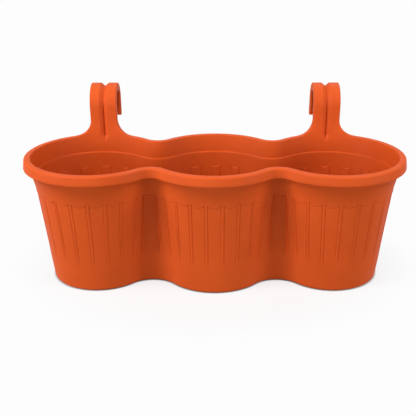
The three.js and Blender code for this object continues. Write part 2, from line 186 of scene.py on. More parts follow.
def lofted_object(name: str, levels: list[tuple[float, list[Point]]]) -> Object:
    """Make a closed solid from (height, outline) levels with equally many (x, y) points, in millimetres."""
    vertices = np.array([(x, y, z) for z, outline in levels for x, y in outline])
    return new_object(name, vertices, skin_faces(len(levels), len(levels[0][1])))


def turned_object(name: str, profile: list[Point], x: float, segments: int = 64) -> Object:
    """Turn a profile round a vertical axis into a closed solid.

    Args:
        name: Name of the object.
        profile: (radius, height) points in millimetres, the first and last on the axis.
        x: Where the axis stands along the row of cups.
        segments: How many faces go round.

    Returns:
        The new object.
    """
    angles = np.linspace(0.0, 2 * math.pi, segments, endpoint=False)
    inner = profile[1:-1]
    rings = [
        np.stack([x + r * np.cos(angles), ROW_OFFSET + r * np.sin(angles), np.full(segments, z)], axis=1)
        for r, z in inner
    ]
    ends = np.array([[x, ROW_OFFSET, profile[0][1]], [x, ROW_OFFSET, profile[-1][1]]])
    vertices = np.concatenate([*rings, ends])
    faces = skin_faces(len(inner), segments)[:-2]
    low, high = len(inner) * segments, len(inner) * segments + 1
    last = (len(inner) - 1) * segments
    for i in range(segments):
        j = (i + 1) % segments
        faces.append([low, j, i])
        faces.append([high, last + i, last + j])
    return new_object(name, vertices, faces)


def set_attribute(piece: Object, name: str, values: np.ndarray) -> None:
    """Store one number or one vector for each vertex of a piece.

    Args:
        piece: The object that gets the attribute.
        name: Name of the attribute.
        values: A row of numbers, or rows of vectors.
    """
    kind, field = ("FLOAT", "value") if values.ndim == 1 else ("FLOAT_VECTOR", "vector")
    attribute = piece.data.attributes.new(name, kind, "POINT")
    attribute.data.foreach_set(field, np.ascontiguousarray(values, dtype=np.float32).ravel())


def baked(piece: Object) -> Object:
    """Turn a piece with modifiers into a plain mesh.

    Args:
        piece: Object whose modifiers are applied and removed.

    Returns:
        The same object with the finished mesh.
    """
    graph = bpy.context.evaluated_depsgraph_get()
    mesh = bpy.data.meshes.new_from_object(piece.evaluated_get(graph), depsgraph=graph)
    piece.modifiers.clear()
    old = piece.data
    piece.data = mesh
    bpy.data.meshes.remove(old)
    mesh.name = piece.name
    return piece


class Join(Enum):
    """What other solids do to a piece, by Blender's names."""

    ADD = "UNION"
    CUT = "DIFFERENCE"


def joined(piece: Object, others: list[Object], how: Join) -> Object:
    """Join other solids to a piece, or cut them out of it, and remove them.

    Args:
        piece: The solid that stays.
        others: The solids to add or to cut with.
        how: Whether they are added or cut out.

    Returns:
        The piece with its new mesh.
    """
    for other in others:
        modifier = piece.modifiers.new("join", "BOOLEAN")
        modifier.operation = how.value
        modifier.solver = "MANIFOLD"
        modifier.object = other
        baked(piece)
        bpy.data.objects.remove(other)
    return piece


def shade(piece: Object, degrees: float) -> None:
    """Shade a piece smooth, with creases where faces meet at more than the angle given."""
    piece.data.shade_smooth()
    piece.data.set_sharp_from_angle(angle=math.radians(degrees))


def add_node(
    tree: NodeTree,
    kind: str,
    settings: dict[str, object] | None = None,
    inputs: dict[object, object] | list[object] | None = None,
) -> Node:
    """Add a node with its settings, values and links.

    Args:
        tree: Node tree that gets the node.
        kind: Blender's name of the node type.
        settings: Node properties to set.
        inputs: Values, sockets or nodes for its inputs, by name or number, or in order. A node gives its
            first output.

    Returns:
        The new node.
    """
    node = tree.nodes.new(kind)
    for name, value in (settings or {}).items():
        setattr(node, name, value)
    pairs = enumerate(inputs) if isinstance(inputs, list) else (inputs or {}).items()
    for key, value in pairs:
        if isinstance(value, Node):
            value = value.outputs[0]
        if isinstance(value, NodeSocket):
            tree.links.new(value, node.inputs[key])
        else:
            node.inputs[key].default_value = value
    return node


class Step(Enum):
    """A step of arithmetic, by the option of Blender's Math node, or of Map Range for the last two."""

    ADD = "ADD"
    SUBTRACT = "SUBTRACT"
    MULTIPLY = "MULTIPLY"
    MULTIPLY_ADD = "MULTIPLY_ADD"
    DIVIDE = "DIVIDE"
    POWER = "POWER"
    ROOT = "SQRT"
    SINE = "SINE"
    COSINE = "COSINE"
    SIZE = "ABSOLUTE"
    LEAST = "MINIMUM"
    MOST = "MAXIMUM"
    SLOPE = "LINEAR"
    EASE = "SMOOTHSTEP"


def add_steps(tree: NodeTree, known: dict[str, object], steps: list[tuple]) -> None:
    """Add a run of arithmetic, in which each step may read every result before it.

    Args:
        tree: Node tree that gets the nodes.
        known: Sockets by name, to which each step adds its result.
        steps: Rows of (name of the result, Step, inputs in order); an input is a number or a name.
    """
    for result, step, *inputs in steps:
        kind, choice = "ShaderNodeMath", "operation"
        if step in (Step.SLOPE, Step.EASE):
            kind, choice = "ShaderNodeMapRange", "interpolation_type"
        values = [known[value] if isinstance(value, str) else value for value in inputs]
        known[result] = add_node(tree, kind, {choice: step.value}, values).outputs[0]


def new_geometry_tree(
    name: str, sizes: Iterable[str], attributes: Iterable[str]
) -> tuple[NodeTree, dict[str, NodeSocket]]:
    """Start a Geometry Nodes tree with a geometry, named sizes and a material as inputs.

    Args:
        name: Name of the tree.
        sizes: Names of its number inputs.
        attributes: Names of the numbers that it reads from each point.

    Returns:
        The tree, and the sockets of its inputs and attributes by name.
    """
    tree = bpy.data.node_groups.new(name, "GeometryNodeTree")
    tree.interface.new_socket("Geometry", in_out="INPUT", socket_type="NodeSocketGeometry")
    for size in sizes:
        tree.interface.new_socket(size, in_out="INPUT", socket_type="NodeSocketFloat")
    tree.interface.new_socket("Material", in_out="INPUT", socket_type="NodeSocketMaterial")
    tree.interface.new_socket("Geometry", in_out="OUTPUT", socket_type="NodeSocketGeometry")
    known = {socket.name: socket for socket in add_node(tree, "NodeGroupInput").outputs if socket.name}
    for attribute in attributes:
        kind = {"data_type": "FLOAT"}
        reader = add_node(tree, "GeometryNodeInputNamedAttribute", kind, {"Name": attribute})
        known[attribute] = reader.outputs["Attribute"]
    return tree, known


def finish_geometry_tree(tree: NodeTree, known: dict[str, NodeSocket], geometry: Node) -> NodeTree:
    """End a tree in Realize Instances and Set Material, and return it.

    Args:
        tree: The tree to end.
        known: Its inputs by name, with the material.
        geometry: Node with the finished geometry.

    Returns:
        The same tree.
    """
    real = add_node(tree, "GeometryNodeRealizeInstances", inputs=[geometry])
    inputs = {"Geometry": real, "Material": known["Material"]}
    add_node(tree, "NodeGroupOutput", inputs=[add_node(tree, "GeometryNodeSetMaterial", inputs=inputs)])
    return tree


def run_tree(piece: Object, tree: NodeTree, values: dict[str, object]) -> Object:
    """Run a Geometry Nodes tree on a piece and keep the result as a plain mesh.

    Args:
        piece: Object that gets the tree.
        tree: Tree to run.
        values: Values of its named inputs.

    Returns:
        The piece with its new mesh.
    """
    modifier = piece.modifiers.new(tree.name, "NODES")
    modifier.node_group = tree
    for item in tree.interface.items_tree:
        if item.in_out == "INPUT" and item.name in values:
            modifier[item.identifier] = values[item.name]
    return baked(piece)


def new_material(name: str) -> tuple[Material, NodeTree]:
    """Make an empty material.

    Args:
        name: Name of the material.

    Returns:
        The material and its node tree.
    """
    material = bpy.data.materials.new(name)
    material.use_nodes = True
    material.node_tree.nodes.clear()
    return material, material.node_tree


def seen_directly(tree: NodeTree) -> NodeSocket:
    """Add what tells the rays that show the background from the rays that light the planter.

    Args:
        tree: Shader tree that gets the nodes.

    Returns:
        A socket that is 1 for camera, glossy and transmission rays, and otherwise 0.
    """
    known = {socket.name: socket for socket in add_node(tree, "ShaderNodeLightPath").outputs}
    steps = [
        ("shown", Step.MOST, "Is Camera Ray", "Is Glossy Ray"),
        ("seen", Step.MOST, "shown", "Is Transmission Ray"),
    ]
    add_steps(tree, known, steps)
    return known["seen"]


# Finishes

class Surface(Enum):
    """The mould's face where a piece was formed, with the height of its grain in millimetres."""

    FINE_SPARK = 0.02
    SMOOTH = 0.008


@dataclass(frozen=True)
class MouldedPolypropylene:
    """Injection-moulded polypropylene, coloured through: satin, slightly waxy, with a fine matt grain."""

    name: str
    colour: str
    shade_colour: str
    surface: Surface
    grain_mm: float
    roughness: float
    sheen_wander: tuple[float, float] = (-0.04, 0.05)
    streak_mm: float = 45.4545
    speck_mm: float = 1.11111
    streak_share: float = 0.7
    grain_strength: float = 0.35
    ior: float = 1.49
    specular: float = 0.12

    def noise(self, tree: NodeTree, size_mm: float, detail: float, roughness: float) -> NodeSocket:
        """Add a noise on Object coordinates.

        Args:
            tree: Shader tree that gets it.
            size_mm: How wide its spots are, in millimetres.
            detail: How many finer layers it has.
            roughness: How much the finer layers show.

        Returns:
            The socket with its number.
        """
        place = add_node(tree, "ShaderNodeTexCoord").outputs["Object"]
        inputs = {"Vector": place, "Scale": 1.0 / (size_mm * MM), "Detail": detail, "Roughness": roughness}
        return add_node(tree, "ShaderNodeTexNoise", inputs=inputs).outputs[0]

    def build(self) -> Material:
        """Make the material.

        Returns:
            A material on Object coordinates, in metres.
        """
        material, tree = new_material(self.name)
        known = {
            # Pigment streaks a few centimetres long, left by the flow of the melt
            "flow": self.noise(tree, self.streak_mm, 3.0, 0.5),
            # Fine specks of pigment, about a millimetre across so that they can be seen
            "specks": self.noise(tree, self.speck_mm, 2.0, 0.6),
            # The grain of the mould's face, which is only a low bump
            "grain": self.noise(tree, self.grain_mm, 2.0, 0.55),
        }
        spots = (0.3, 0.7)
        steps = [
            ("streaks", Step.SLOPE, "flow", *spots, 0.0, self.streak_share),
            ("dots", Step.SLOPE, "specks", *spots, 0.0, 1.0 - self.streak_share),
            ("blend", Step.ADD, "streaks", "dots"),
            # The melt cools unevenly, so the sheen wanders a little over the wall
            ("polish", Step.SLOPE, "flow", *spots, *(self.roughness + w for w in self.sheen_wander)),
        ]
        add_steps(tree, known, steps)
        # The Mix node has its colours at inputs 6 and 7 and at output 2
        colours = {0: known["blend"], 6: linear(self.shade_colour), 7: linear(self.colour)}
        colour = add_node(tree, "ShaderNodeMix", {"data_type": "RGBA"}, colours)
        height = self.surface.value * MM
        relief = {"Strength": self.grain_strength, "Distance": height, "Height": known["grain"]}
        inputs = {
            "Base Color": colour.outputs[2],
            "Roughness": known["polish"],
            "Normal": add_node(tree, "ShaderNodeBump", inputs=relief),
            "IOR": self.ior,
            "Specular IOR Level": self.specular,
            "Metallic": 0.0,
        }
        shader = add_node(tree, "ShaderNodeBsdfPrincipled", inputs=inputs)
        add_node(tree, "ShaderNodeOutputMaterial", inputs={"Surface": shader})
        return material


TERRACOTTA = MouldedPolypropylene(
    name="terracotta_moulded_polypropylene",
    colour="C9501C",
    shade_colour="C14B19",
    surface=Surface.FINE_SPARK,
    grain_mm=0.9,
    roughness=0.55,
)
PLUG_TERRACOTTA = MouldedPolypropylene(
    name="plug_moulded_polypropylene",
    colour="B54A1B",
    shade_colour="AB4217",
    surface=Surface.SMOOTH,
    grain_mm=0.7,
    roughness=0.36,
)


# The plan outline: three circles joined by hollow necks

@dataclass(frozen=True)
class Radii:
    """Radii of one level outline, in millimetres; each may be a number or one number for each column."""

    mid: np.ndarray | float
    end: np.ndarray | float
    neck: np.ndarray | float

    def inset(self, depth: np.ndarray | float) -> "Radii":
        """Return the outline that lies depth inside this one."""
        return Radii(self.mid - depth, self.end - depth, self.neck + depth)

    def mixed(self, other: "Radii", share: np.ndarray | float) -> "Radii":
        """Return the outline that lies share of the way to another."""
        return Radii(
            mix(self.mid, other.mid, share),
            mix(self.end, other.end, share),
            mix(self.neck, other.neck, share),
        )


@dataclass
class Columns:
    """Places round the whole outline, and what the fluting does at each."""

    along: np.ndarray
    lean: np.ndarray
    side_x: np.ndarray
    side_y: np.ndarray
    flute_offset: np.ndarray
    flute_half: np.ndarray
    flute_share: np.ndarray
    panel_offset: np.ndarray


@dataclass(frozen=True)
class Plan:
    """The planter's outline seen from above."""

    pitch: float = 175.0
    rim: Radii = Radii(106.4, 104.4, 18.6)
    foot: Radii = Radii(80.0, 72.8, 43.4)
    wall_inset: float = 13.4
    ledge_height: float = 162.0
    pattern_height: float = 115.0

    def wall(self, height: np.ndarray | float) -> Radii:
        """Return the outline of the drafted outer wall at a height."""
        return self.foot.mixed(self.rim.inset(self.wall_inset), height / self.ledge_height)

    def necks(self, radii: Radii) -> tuple[np.ndarray, np.ndarray, np.ndarray, np.ndarray]:
        """Find the neck circle that touches the two cup circles.

        Args:
            radii: The outline's radii.

        Returns:
            The neck circle's centre, and the angles at which it touches the middle and the end cup.
        """
        reach_mid, reach_end = radii.mid + radii.neck, radii.end + radii.neck
        x = (reach_mid**2 - reach_end**2 + self.pitch**2) / (2 * self.pitch)
        y = np.sqrt(reach_mid**2 - x**2)
        return x, y, np.arctan2(x, y), np.arctan2(self.pitch - x, y)

    def stretch_starts(self) -> list[float]:
        """Measure the stretches of a quarter outline, from the middle cup to the end cup's tip.

        Returns:
            Where each stretch starts, and where the last one ends, in millimetres along the outline.
        """
        radii = self.wall(self.pattern_height)
        _, _, mid_angle, end_angle = self.necks(radii)
        lengths = [
            radii.mid * mid_angle,
            radii.neck * mid_angle,
            radii.neck * end_angle,
            radii.end * end_angle,
            radii.end * math.pi / 2,
        ]
        return [0.0, *np.cumsum(lengths)]

    def points(
        self, radii: Radii, columns: Columns, along: np.ndarray
    ) -> tuple[np.ndarray, np.ndarray, np.ndarray, np.ndarray]:
        """Place every column on an outline.

        Args:
            radii: The outline's radii.
            columns: The columns to place.
            along: How far along its quarter each column stands, in millimetres.

        Returns:
            x, y and the two parts of the outward normal.
        """
        x, y, mid_angle, end_angle = self.necks(radii)
        starts = np.array(self.stretch_starts())
        zone = np.clip(np.searchsorted(starts, along + 1e-9) - 1, 0, 4)
        share = (along - starts[zone]) / np.diff(starts)[zone]
        stretches = [
            (mid_angle, 0.0, 0.0, radii.mid),
            (mid_angle, x, y, -radii.neck),
            (end_angle, x, y, -radii.neck),
            (end_angle, self.pitch, 0.0, radii.end),
            (math.pi / 2, self.pitch, 0.0, radii.end),
        ]
        turn, centre_x, centre_y, radius = (np.choose(zone, values) for values in zip(*stretches))
        # Odd stretches run towards the next circle's axis, so their angles come up to zero
        angle = (share - zone % 2) * turn
        normal_x, normal_y = np.sign(radius) * np.sin(angle), np.cos(angle)
        return (
            columns.side_x * (centre_x + radius * normal_x),
            columns.side_y * (centre_y + radius * normal_y),
            columns.side_x * normal_x,
            columns.side_y * normal_y,
        )


@dataclass
class Row:
    """One ring of the shell: how deep inside the outline it runs, how high, and its share of the relief."""

    depth: float
    height: np.ndarray | float
    relief: float = 0.0
    on_rim: bool = False


@dataclass
class FlutedShell:
    """The drafted, fluted wall with its floor, ledge, collar and rolled rim, as one closed skin."""

    plan: Plan
    wall: float = 2.6
    floor_height: float = 6.0
    floor_thickness: float = 2.6
    floor_fillet: float = 3.0
    foot_width: float = 5.0
    foot_round: float = 2.2
    foot_break: float = 0.6
    rim_height: float = 188.0
    rim_top_width: float = 10.9
    rim_drop: float = 14.0
    rim_flare: float = 1.4
    rim_round: float = 3.0
    rim_inner_round: float = 1.3
    lip_round: float = 0.8
    root_fillet: float = 1.1
    collar_heights: tuple[float, ...] = (182.0, 176.0, 169.5)
    face_drop: float = 0.5
    ledge_width: float = 2.0
    ledge_round: float = 1.8
    flute_pitch: float = 22.9
    rib_width: float = 2.6
    flute_slope: float = 0.7
    flute_depth: float = 0.5
    crease_width: float = 1.2
    crease_depth: float = 0.52
    arc_share: float = 0.35
    flute_foot: float = 31.0
    flute_fade: float = 30.0
    scallop_low: float = 136.8
    scallop_sag: float = 5.0
    scallop_step: float = 0.8
    mid_flutes: int = 3
    end_flutes: int = 3
    back_pitch: float = 33.0
    back_width: float = 15.5
    back_depth_share: float = 0.95
    panel_width: float = 15.3
    panel_shift: float = 3.45
    panel_depth: float = 3.4
    panel_bevel: float = 2.3
    panel_top: float = 2.6
    spread_inwards: float = 0.061
    spread_outwards: float = 0.029
    least_gap: float = 0.12
    crease_margin: float = 0.4
    slope_margin: float = 0.35
    back_margin: float = 4.0
    back_neck_step: float = 9.0
    plain_heights: tuple[float, ...] = (5.0, 12.0, 20.0, 27.0)
    inner_plain_height: float = 22.0
    fade_shares: tuple[float, ...] = (0.0, 0.06, 0.13, 0.2, 0.28, 0.38, 0.68, 1.0)
    inner_shares: tuple[float, ...] = (1.0, 0.68, 0.36, 0.22, 0.1, 0.0)
    fade_end: float = 4.0
    band_foot: float = 2.0

    def front_flutes(self, starts: list[float]) -> tuple[list[tuple[float, float]], float]:
        """Lay out the flutes of a front quarter.

        Args:
            starts: Where each stretch of the quarter starts.

        Returns:
            (centre, half width) of each flute, and the neck panel's centre.
        """
        half = (self.flute_pitch - self.rib_width - self.flute_slope) / 2
        neck, end_centre, tip = starts[2], starts[4], starts[5]
        panel = neck + self.panel_shift
        reach = self.panel_width / 2 + self.panel_bevel
        edge = (self.rib_width + self.flute_slope) / 2
        mid_edge = (self.mid_flutes + 0.5) * self.flute_pitch + edge
        end_edge = end_centre - self.end_flutes * self.flute_pitch - edge
        outer_count = math.floor((tip - end_centre) / self.flute_pitch)
        outer_pitch = (tip - end_centre) / (outer_count + 0.5)
        outer_half = half + (outer_pitch - self.flute_pitch) / 2
        flutes = [(k * self.flute_pitch, half) for k in range(self.mid_flutes + 1)]
        flutes.append(((mid_edge + panel - reach) / 2, (panel - reach - mid_edge) / 2))
        flutes.append(((end_edge + panel + reach) / 2, (end_edge - panel - reach) / 2))
        flutes += [(end_centre - (k + 0.5) * self.flute_pitch, half) for k in range(self.end_flutes)]
        flutes += [(end_centre + (k + 0.5) * outer_pitch, outer_half) for k in range(outer_count + 1)]
        return flutes, panel

    def back_flutes(self, starts: list[float]) -> list[tuple[float, float]]:
        """Lay out the flutes of a back quarter, which stand further apart.

        Args:
            starts: Where each stretch of the quarter starts.

        Returns:
            (centre, half width) of each flute.
        """
        half = self.back_width / 2
        end_centre, tip = starts[4], starts[5]
        outer_count = round((tip - end_centre) / self.back_pitch)
        outer_pitch = (tip - end_centre) / outer_count
        centres = [0.0, self.back_pitch, end_centre - self.back_pitch]
        centres += [end_centre + k * outer_pitch for k in range(outer_count + 1)]
        return [(centre, half) for centre in centres]

    def quarter(self, back: bool) -> dict[str, np.ndarray]:
        """Choose the columns of a quarter so that each crease of the fluting has one.

        Args:
            back: True for the side towards the rail.

        Returns:
            Column values by name, from the middle cup to the tip of the end cup.
        """
        starts = self.plan.stretch_starts()
        if back:
            flutes, panel = self.back_flutes(starts), NO_PANEL
            places = [starts[2] + step * self.back_neck_step for step in range(-5, 6)]
        else:
            flutes, panel = self.front_flutes(starts)
            reach = self.panel_width / 2
            places = [panel + reach * share for share in (-1, -0.5, 0, 0.5, 1)]
            places += [panel + side * (reach + self.panel_bevel * k / 2) for side in (-1, 1) for k in (1, 2)]
        crease, slope = self.crease_width, self.flute_slope
        gap = (self.back_pitch if back else self.flute_pitch) / 2
        for centre, half in flutes:
            offsets = [half * share for share in (0.0, 0.3, 0.6)]
            offsets += [half - crease - self.crease_margin, half - crease, half - crease / 2, half]
            offsets += [half + slope, half + slope + self.slope_margin, gap]
            offsets += [half + self.back_margin] if back else []
            places += [centre + side * offset for side in (-1, 1) for offset in offsets]
        along = np.unique(np.round(np.clip(places, 0.0, starts[5]), 2))
        along = along[np.concatenate([[True], np.diff(along) > self.least_gap])]
        along[-1] = starts[5]
        centres, halves = np.array(flutes).T
        nearest = np.argmin(np.abs(along[:, None] - centres) - halves, axis=1)
        return {
            "along": along,
            "lean": 0.0 * along if back else self.lean(along, panel, starts[4]),
            "flute_offset": np.abs(along - centres[nearest]),
            "flute_half": halves[nearest],
            "flute_share": np.full(len(along), self.back_depth_share if back else 1.0),
            "panel_offset": np.abs(along - panel),
        }

    def lean(self, along: np.ndarray, panel: float, end_centre: float) -> np.ndarray:
        """Work out how the columns lean beside a neck panel, which widens downwards.

        Args:
            along: Where each column stands along its quarter.
            panel: The panel's centre.
            end_centre: Where the quarter comes to the front of the end cup.

        Returns:
            How far each column runs outwards for each millimetre down.
        """
        reach, pitch = self.panel_width / 2 + self.panel_bevel, self.flute_pitch
        places = [2.5 * pitch, panel - reach, panel + reach, end_centre - 2 * pitch]
        return np.interp(along, places, [0.0, -self.spread_inwards, self.spread_outwards, 0.0])

    def columns(self) -> Columns:
        """Join four quarters, counter-clockwise from the middle of the front.

        Returns:
            The columns of the whole outline.
        """
        front, back = self.quarter(False), self.quarter(True)
        parts = [
            (front, slice(None), 1, -1),
            (back, slice(-2, 0, -1), 1, 1),
            (back, slice(0, -1), -1, 1),
            (front, slice(None, 0, -1), -1, -1),
        ]
        values = {key: np.concatenate([part[key][cut] for part, cut, _, _ in parts]) for key in front}
        sizes = [len(part["along"][cut]) for part, cut, _, _ in parts]
        side_x = np.repeat([sx for _, _, sx, _ in parts], sizes)
        side_y = np.repeat([sy for _, _, _, sy in parts], sizes)
        return Columns(side_x=side_x, side_y=side_y, **values)

    def scallop(self, columns: Columns) -> np.ndarray:
        """Find where the flutes end under the plain band.

        Args:
            columns: The columns of the outline.

        Returns:
            The height of the scallop at each column.
        """
        half = columns.flute_half
        radius = (half**2 + self.scallop_sag**2) / (2 * self.scallop_sag)
        offset = np.minimum(columns.flute_offset, half)
        return self.scallop_low + radius - np.sqrt(radius**2 - offset**2)

    def rows(self, columns: Columns) -> list[Row]:
        """Draw the section of the shell, from the foot's hollow up the outside and down the inside.

        Args:
            columns: The columns, whose scallops some rows follow.

        Returns:
            The rows in order.
        """
        scallop = self.scallop(columns)
        on_panel = columns.panel_offset < self.panel_width / 2 + self.panel_bevel + 0.01
        step = np.where(on_panel, self.panel_top, self.scallop_step)
        top, floor = self.rim_height, self.floor_height + self.floor_thickness
        band = scallop + step
        fade_from = scallop - self.fade_end
        rows = [
            Row(self.foot_width, self.floor_height),
            Row(self.foot_width, self.foot_break),
            Row(self.foot_width - self.foot_break, 0.0),
        ]
        foot = quarter_round((self.foot_round, 0.0), (0.0, self.foot_round), 4, False)
        rows += [Row(depth, height) for depth, height in foot]
        rows += [Row(0.0, height) for height in self.plain_heights]
        # The flutes, with close rows where they fade in, at the creases and at the arcs
        below = (2.0, self.crease_width + 0.3, self.crease_width, self.crease_width / 2)
        arc_heights = [scallop - drop for drop in below]
        arc_heights += [scallop + step * share for share in (0.0, 0.5, 1.0)]
        rows += [Row(0.0, mix(self.flute_foot, fade_from, share), 1) for share in self.fade_shares]
        rows += [Row(0.0, height, 1) for height in arc_heights]
        rows += [Row(0.0, band + above) for above in (0.4, self.band_foot)]
        # The plain band swells into the ledge
        ledge = self.plan.ledge_height
        rise = ledge - self.scallop_low - self.scallop_sag - self.panel_top - self.band_foot
        for share in (0.3, 0.65):
            height = mix(band + self.band_foot, ledge, share)
            lift = np.clip((height - ledge + rise) / rise, 0.0, 1.0)
            rows.append(Row(-self.ledge_width * lift, height))
        collar = self.plan.wall_inset - self.ledge_width
        rows += [Row(depth, height, on_rim=True) for depth, height in self.rim_section(collar, top)]
        # Down the inside, where the flutes are pressed through
        rows.append(Row(self.wall, ledge - self.ledge_round - 3.0))
        rows += [Row(self.wall, band + above) for above in (self.band_foot, 0.5)]
        rows += [Row(self.wall, height, 1) for height in arc_heights[::-1]]
        rows += [Row(self.wall, mix(self.flute_foot, fade_from, share), 1) for share in self.inner_shares]
        rows.append(Row(self.wall, self.inner_plain_height))
        start = (self.wall, floor + self.floor_fillet)
        end = (self.wall + self.floor_fillet, floor)
        rows += [Row(depth, height) for depth, height in quarter_round(start, end, 4, True)]
        return rows

    def rim_section(self, collar: float, top: float) -> list[Point]:
        """Draw the collar and the rolled rim.

        Args:
            collar: Depth of the collar's outer face at the ledge.
            top: Height of the rim.

        Returns:
            (depth, height) points, from the outside of the ledge round to its inside.
        """
        under, lip = top - self.wall, top - self.rim_drop
        ledge, root, r = self.plan.ledge_height, self.root_fillet, self.lip_round
        collar_top = self.rim_top_width - self.wall
        skirt_in = self.rim_flare + self.wall

        def face(z: float) -> float:
            """Return the depth of the skirt's leaning outer face at a height."""
            return self.rim_flare * (z - lip) / (top - self.rim_round - lip)

        def inner(z: float) -> float:
            """Return the depth of the collar's leaning inner face at a height."""
            return mix(collar + self.wall, self.rim_top_width, (z - ledge) / (top - self.face_drop - ledge))

        inner_start = top - self.rim_inner_round
        points = [(mix(collar, collar_top, s), mix(ledge, under, s)) for s in (0.0, 0.3, 0.6, 0.85)]
        points += quarter_round((collar_top + 0.05, under - root), (collar_top - root, under), 3, True)
        points += quarter_round((skirt_in + root, under), (skirt_in, under - root), 3, False)
        points.append((self.wall + self.rim_flare / 2, mix(lip, under, 0.45)))
        points += quarter_round((self.wall, lip + r), (self.wall - r, lip), 3, True)
        points += quarter_round((r, lip), (face(lip + r), lip + r), 3, False)
        points += [(face(z), z) for z in (mix(lip, top, 0.3), mix(lip, top, 0.55))]
        points += quarter_round(
            (self.rim_flare, top - self.rim_round), (self.rim_flare + self.rim_round, top), 6, True
        )
        flat_end = inner(inner_start) - self.rim_inner_round
        points.append((mix(self.rim_flare + self.rim_round, flat_end, 0.5), top))
        points += quarter_round((flat_end, top), (inner(inner_start), inner_start), 5, False)
        points += [(inner(z), z) for z in (*self.collar_heights, ledge + 1.0)]
        points += quarter_round((inner(ledge + 0.5), ledge + 0.5), (collar + self.wall + 0.5, ledge), 2, True)
        wall_at = ledge - self.ledge_round
        drafted = (self.plan.rim.mid - self.plan.wall_inset - self.plan.foot.mid) * self.ledge_round / ledge
        end = (self.plan.wall_inset + self.wall + drafted, wall_at)
        points += quarter_round((collar + self.wall + 0.7, ledge), end, 5, False)
        return points

    def relief_sizes(self) -> dict[str, float]:
        """Return the sizes of the relief by the names of the tree's inputs, lengths in metres."""
        lengths = (
            "flute_depth flute_slope crease_width crease_depth flute_foot flute_fade scallop_low scallop_sag"
            " scallop_step panel_bevel panel_top panel_depth"
        )
        sizes = {name.replace("_", " ").title(): getattr(self, name) * MM for name in lengths.split()}
        return {**sizes, "Arc Share": self.arc_share, "Panel Half Width": self.panel_width / 2 * MM}

    def relief_tree(self) -> NodeTree:
        """Build the tree that presses the scalloped flutes and neck panels into the wall.

        Returns:
            A tree that moves each point along its wall's normal.
        """
        attributes = ("offset", "half", "flute share", "panel offset", "panel flat", "relief share")
        tree, known = new_geometry_tree("scalloped_flutes", self.relief_sizes(), attributes)
        position = add_node(tree, "GeometryNodeInputPosition")
        known["height"] = add_node(tree, "ShaderNodeSeparateXYZ", inputs=[position]).outputs["Z"]
        steps = [
            ("slope end", Step.ADD, "half", "Flute Slope"),
            ("across", Step.SLOPE, "offset", "half", "slope end", 1.0, 0.0),
            # The scallop is an arc through the flute's two top corners
            ("sag square", Step.MULTIPLY, "Scallop Sag", "Scallop Sag"),
            ("square", Step.MULTIPLY_ADD, "half", "half", "sag square"),
            ("two sags", Step.MULTIPLY, "Scallop Sag", 2.0),
            ("radius", Step.DIVIDE, "square", "two sags"),
            ("inside", Step.LEAST, "offset", "half"),
            ("radius square", Step.MULTIPLY, "radius", "radius"),
            ("inside square", Step.MULTIPLY, "inside", "inside"),
            ("rise square", Step.SUBTRACT, "radius square", "inside square"),
            ("rise", Step.ROOT, "rise square"),
            ("arc", Step.SUBTRACT, "radius", "rise"),
            ("scallop", Step.ADD, "Scallop Low", "arc"),
            ("crease half", Step.MULTIPLY, "Crease Width", 0.5),
            ("from rib", Step.SUBTRACT, "half", "offset"),
            ("from arc", Step.SUBTRACT, "scallop", "height"),
        ]
        # A narrow crease runs along the foot of each rib and round under the arc
        for edge in ("rib", "arc"):
            steps += [
                (f"past {edge}", Step.SUBTRACT, f"from {edge}", "crease half"),
                (f"off {edge}", Step.SIZE, f"past {edge}"),
                (f"along {edge}", Step.SLOPE, f"off {edge}", 0.0, "crease half", 1.0, 0.0),
            ]
        steps += [
            ("on flute", Step.MULTIPLY, "along arc", "across"),
            ("arc crease", Step.MULTIPLY, "on flute", "Arc Share"),
            ("crease", Step.MOST, "along rib", "arc crease"),
            ("hollow", Step.MULTIPLY, "across", "Flute Depth"),
            ("deep", Step.MULTIPLY_ADD, "crease", "Crease Depth", "hollow"),
            ("depth", Step.MULTIPLY, "deep", "flute share"),
            ("scallop end", Step.ADD, "scallop", "Scallop Step"),
            ("below scallop", Step.EASE, "height", "scallop", "scallop end", 1.0, 0.0),
            ("flute", Step.MULTIPLY, "depth", "below scallop"),
            # The neck panel is sunk and flat, and its bevels meet in mitred corners
            ("panel end", Step.ADD, "Panel Half Width", "Panel Bevel"),
            ("panel side", Step.SLOPE, "panel offset", "Panel Half Width", "panel end", 1.0, 0.0),
            ("panel corner", Step.ADD, "Scallop Low", "Scallop Sag"),
            ("bevel top", Step.ADD, "panel corner", "Panel Top"),
            ("panel up", Step.SLOPE, "height", "panel corner", "bevel top", 1.0, 0.0),
            ("panel mask", Step.LEAST, "panel side", "panel up"),
            ("sunk", Step.SUBTRACT, "panel flat", "Panel Depth"),
            ("panel", Step.MULTIPLY, "panel mask", "sunk"),
            # All of it fades out towards the foot
            ("fade end", Step.ADD, "Flute Foot", "Flute Fade"),
            ("rising", Step.EASE, "height", "Flute Foot", "fade end", 0.0, 1.0),
            ("both", Step.SUBTRACT, "panel", "flute"),
            ("faded", Step.MULTIPLY, "both", "rising"),
            ("relief", Step.MULTIPLY, "faded", "relief share"),
        ]
        add_steps(tree, known, steps)
        named = {"data_type": "FLOAT_VECTOR"}
        outward = add_node(tree, "GeometryNodeInputNamedAttribute", named, {"Name": "outward"})
        inputs = {"Vector": outward.outputs["Attribute"], "Scale": known["relief"]}
        move = add_node(tree, "ShaderNodeVectorMath", {"operation": "SCALE"}, inputs)
        inputs = {"Geometry": known["Geometry"], "Offset": move}
        return finish_geometry_tree(tree, known, add_node(tree, "GeometryNodeSetPosition", inputs=inputs))

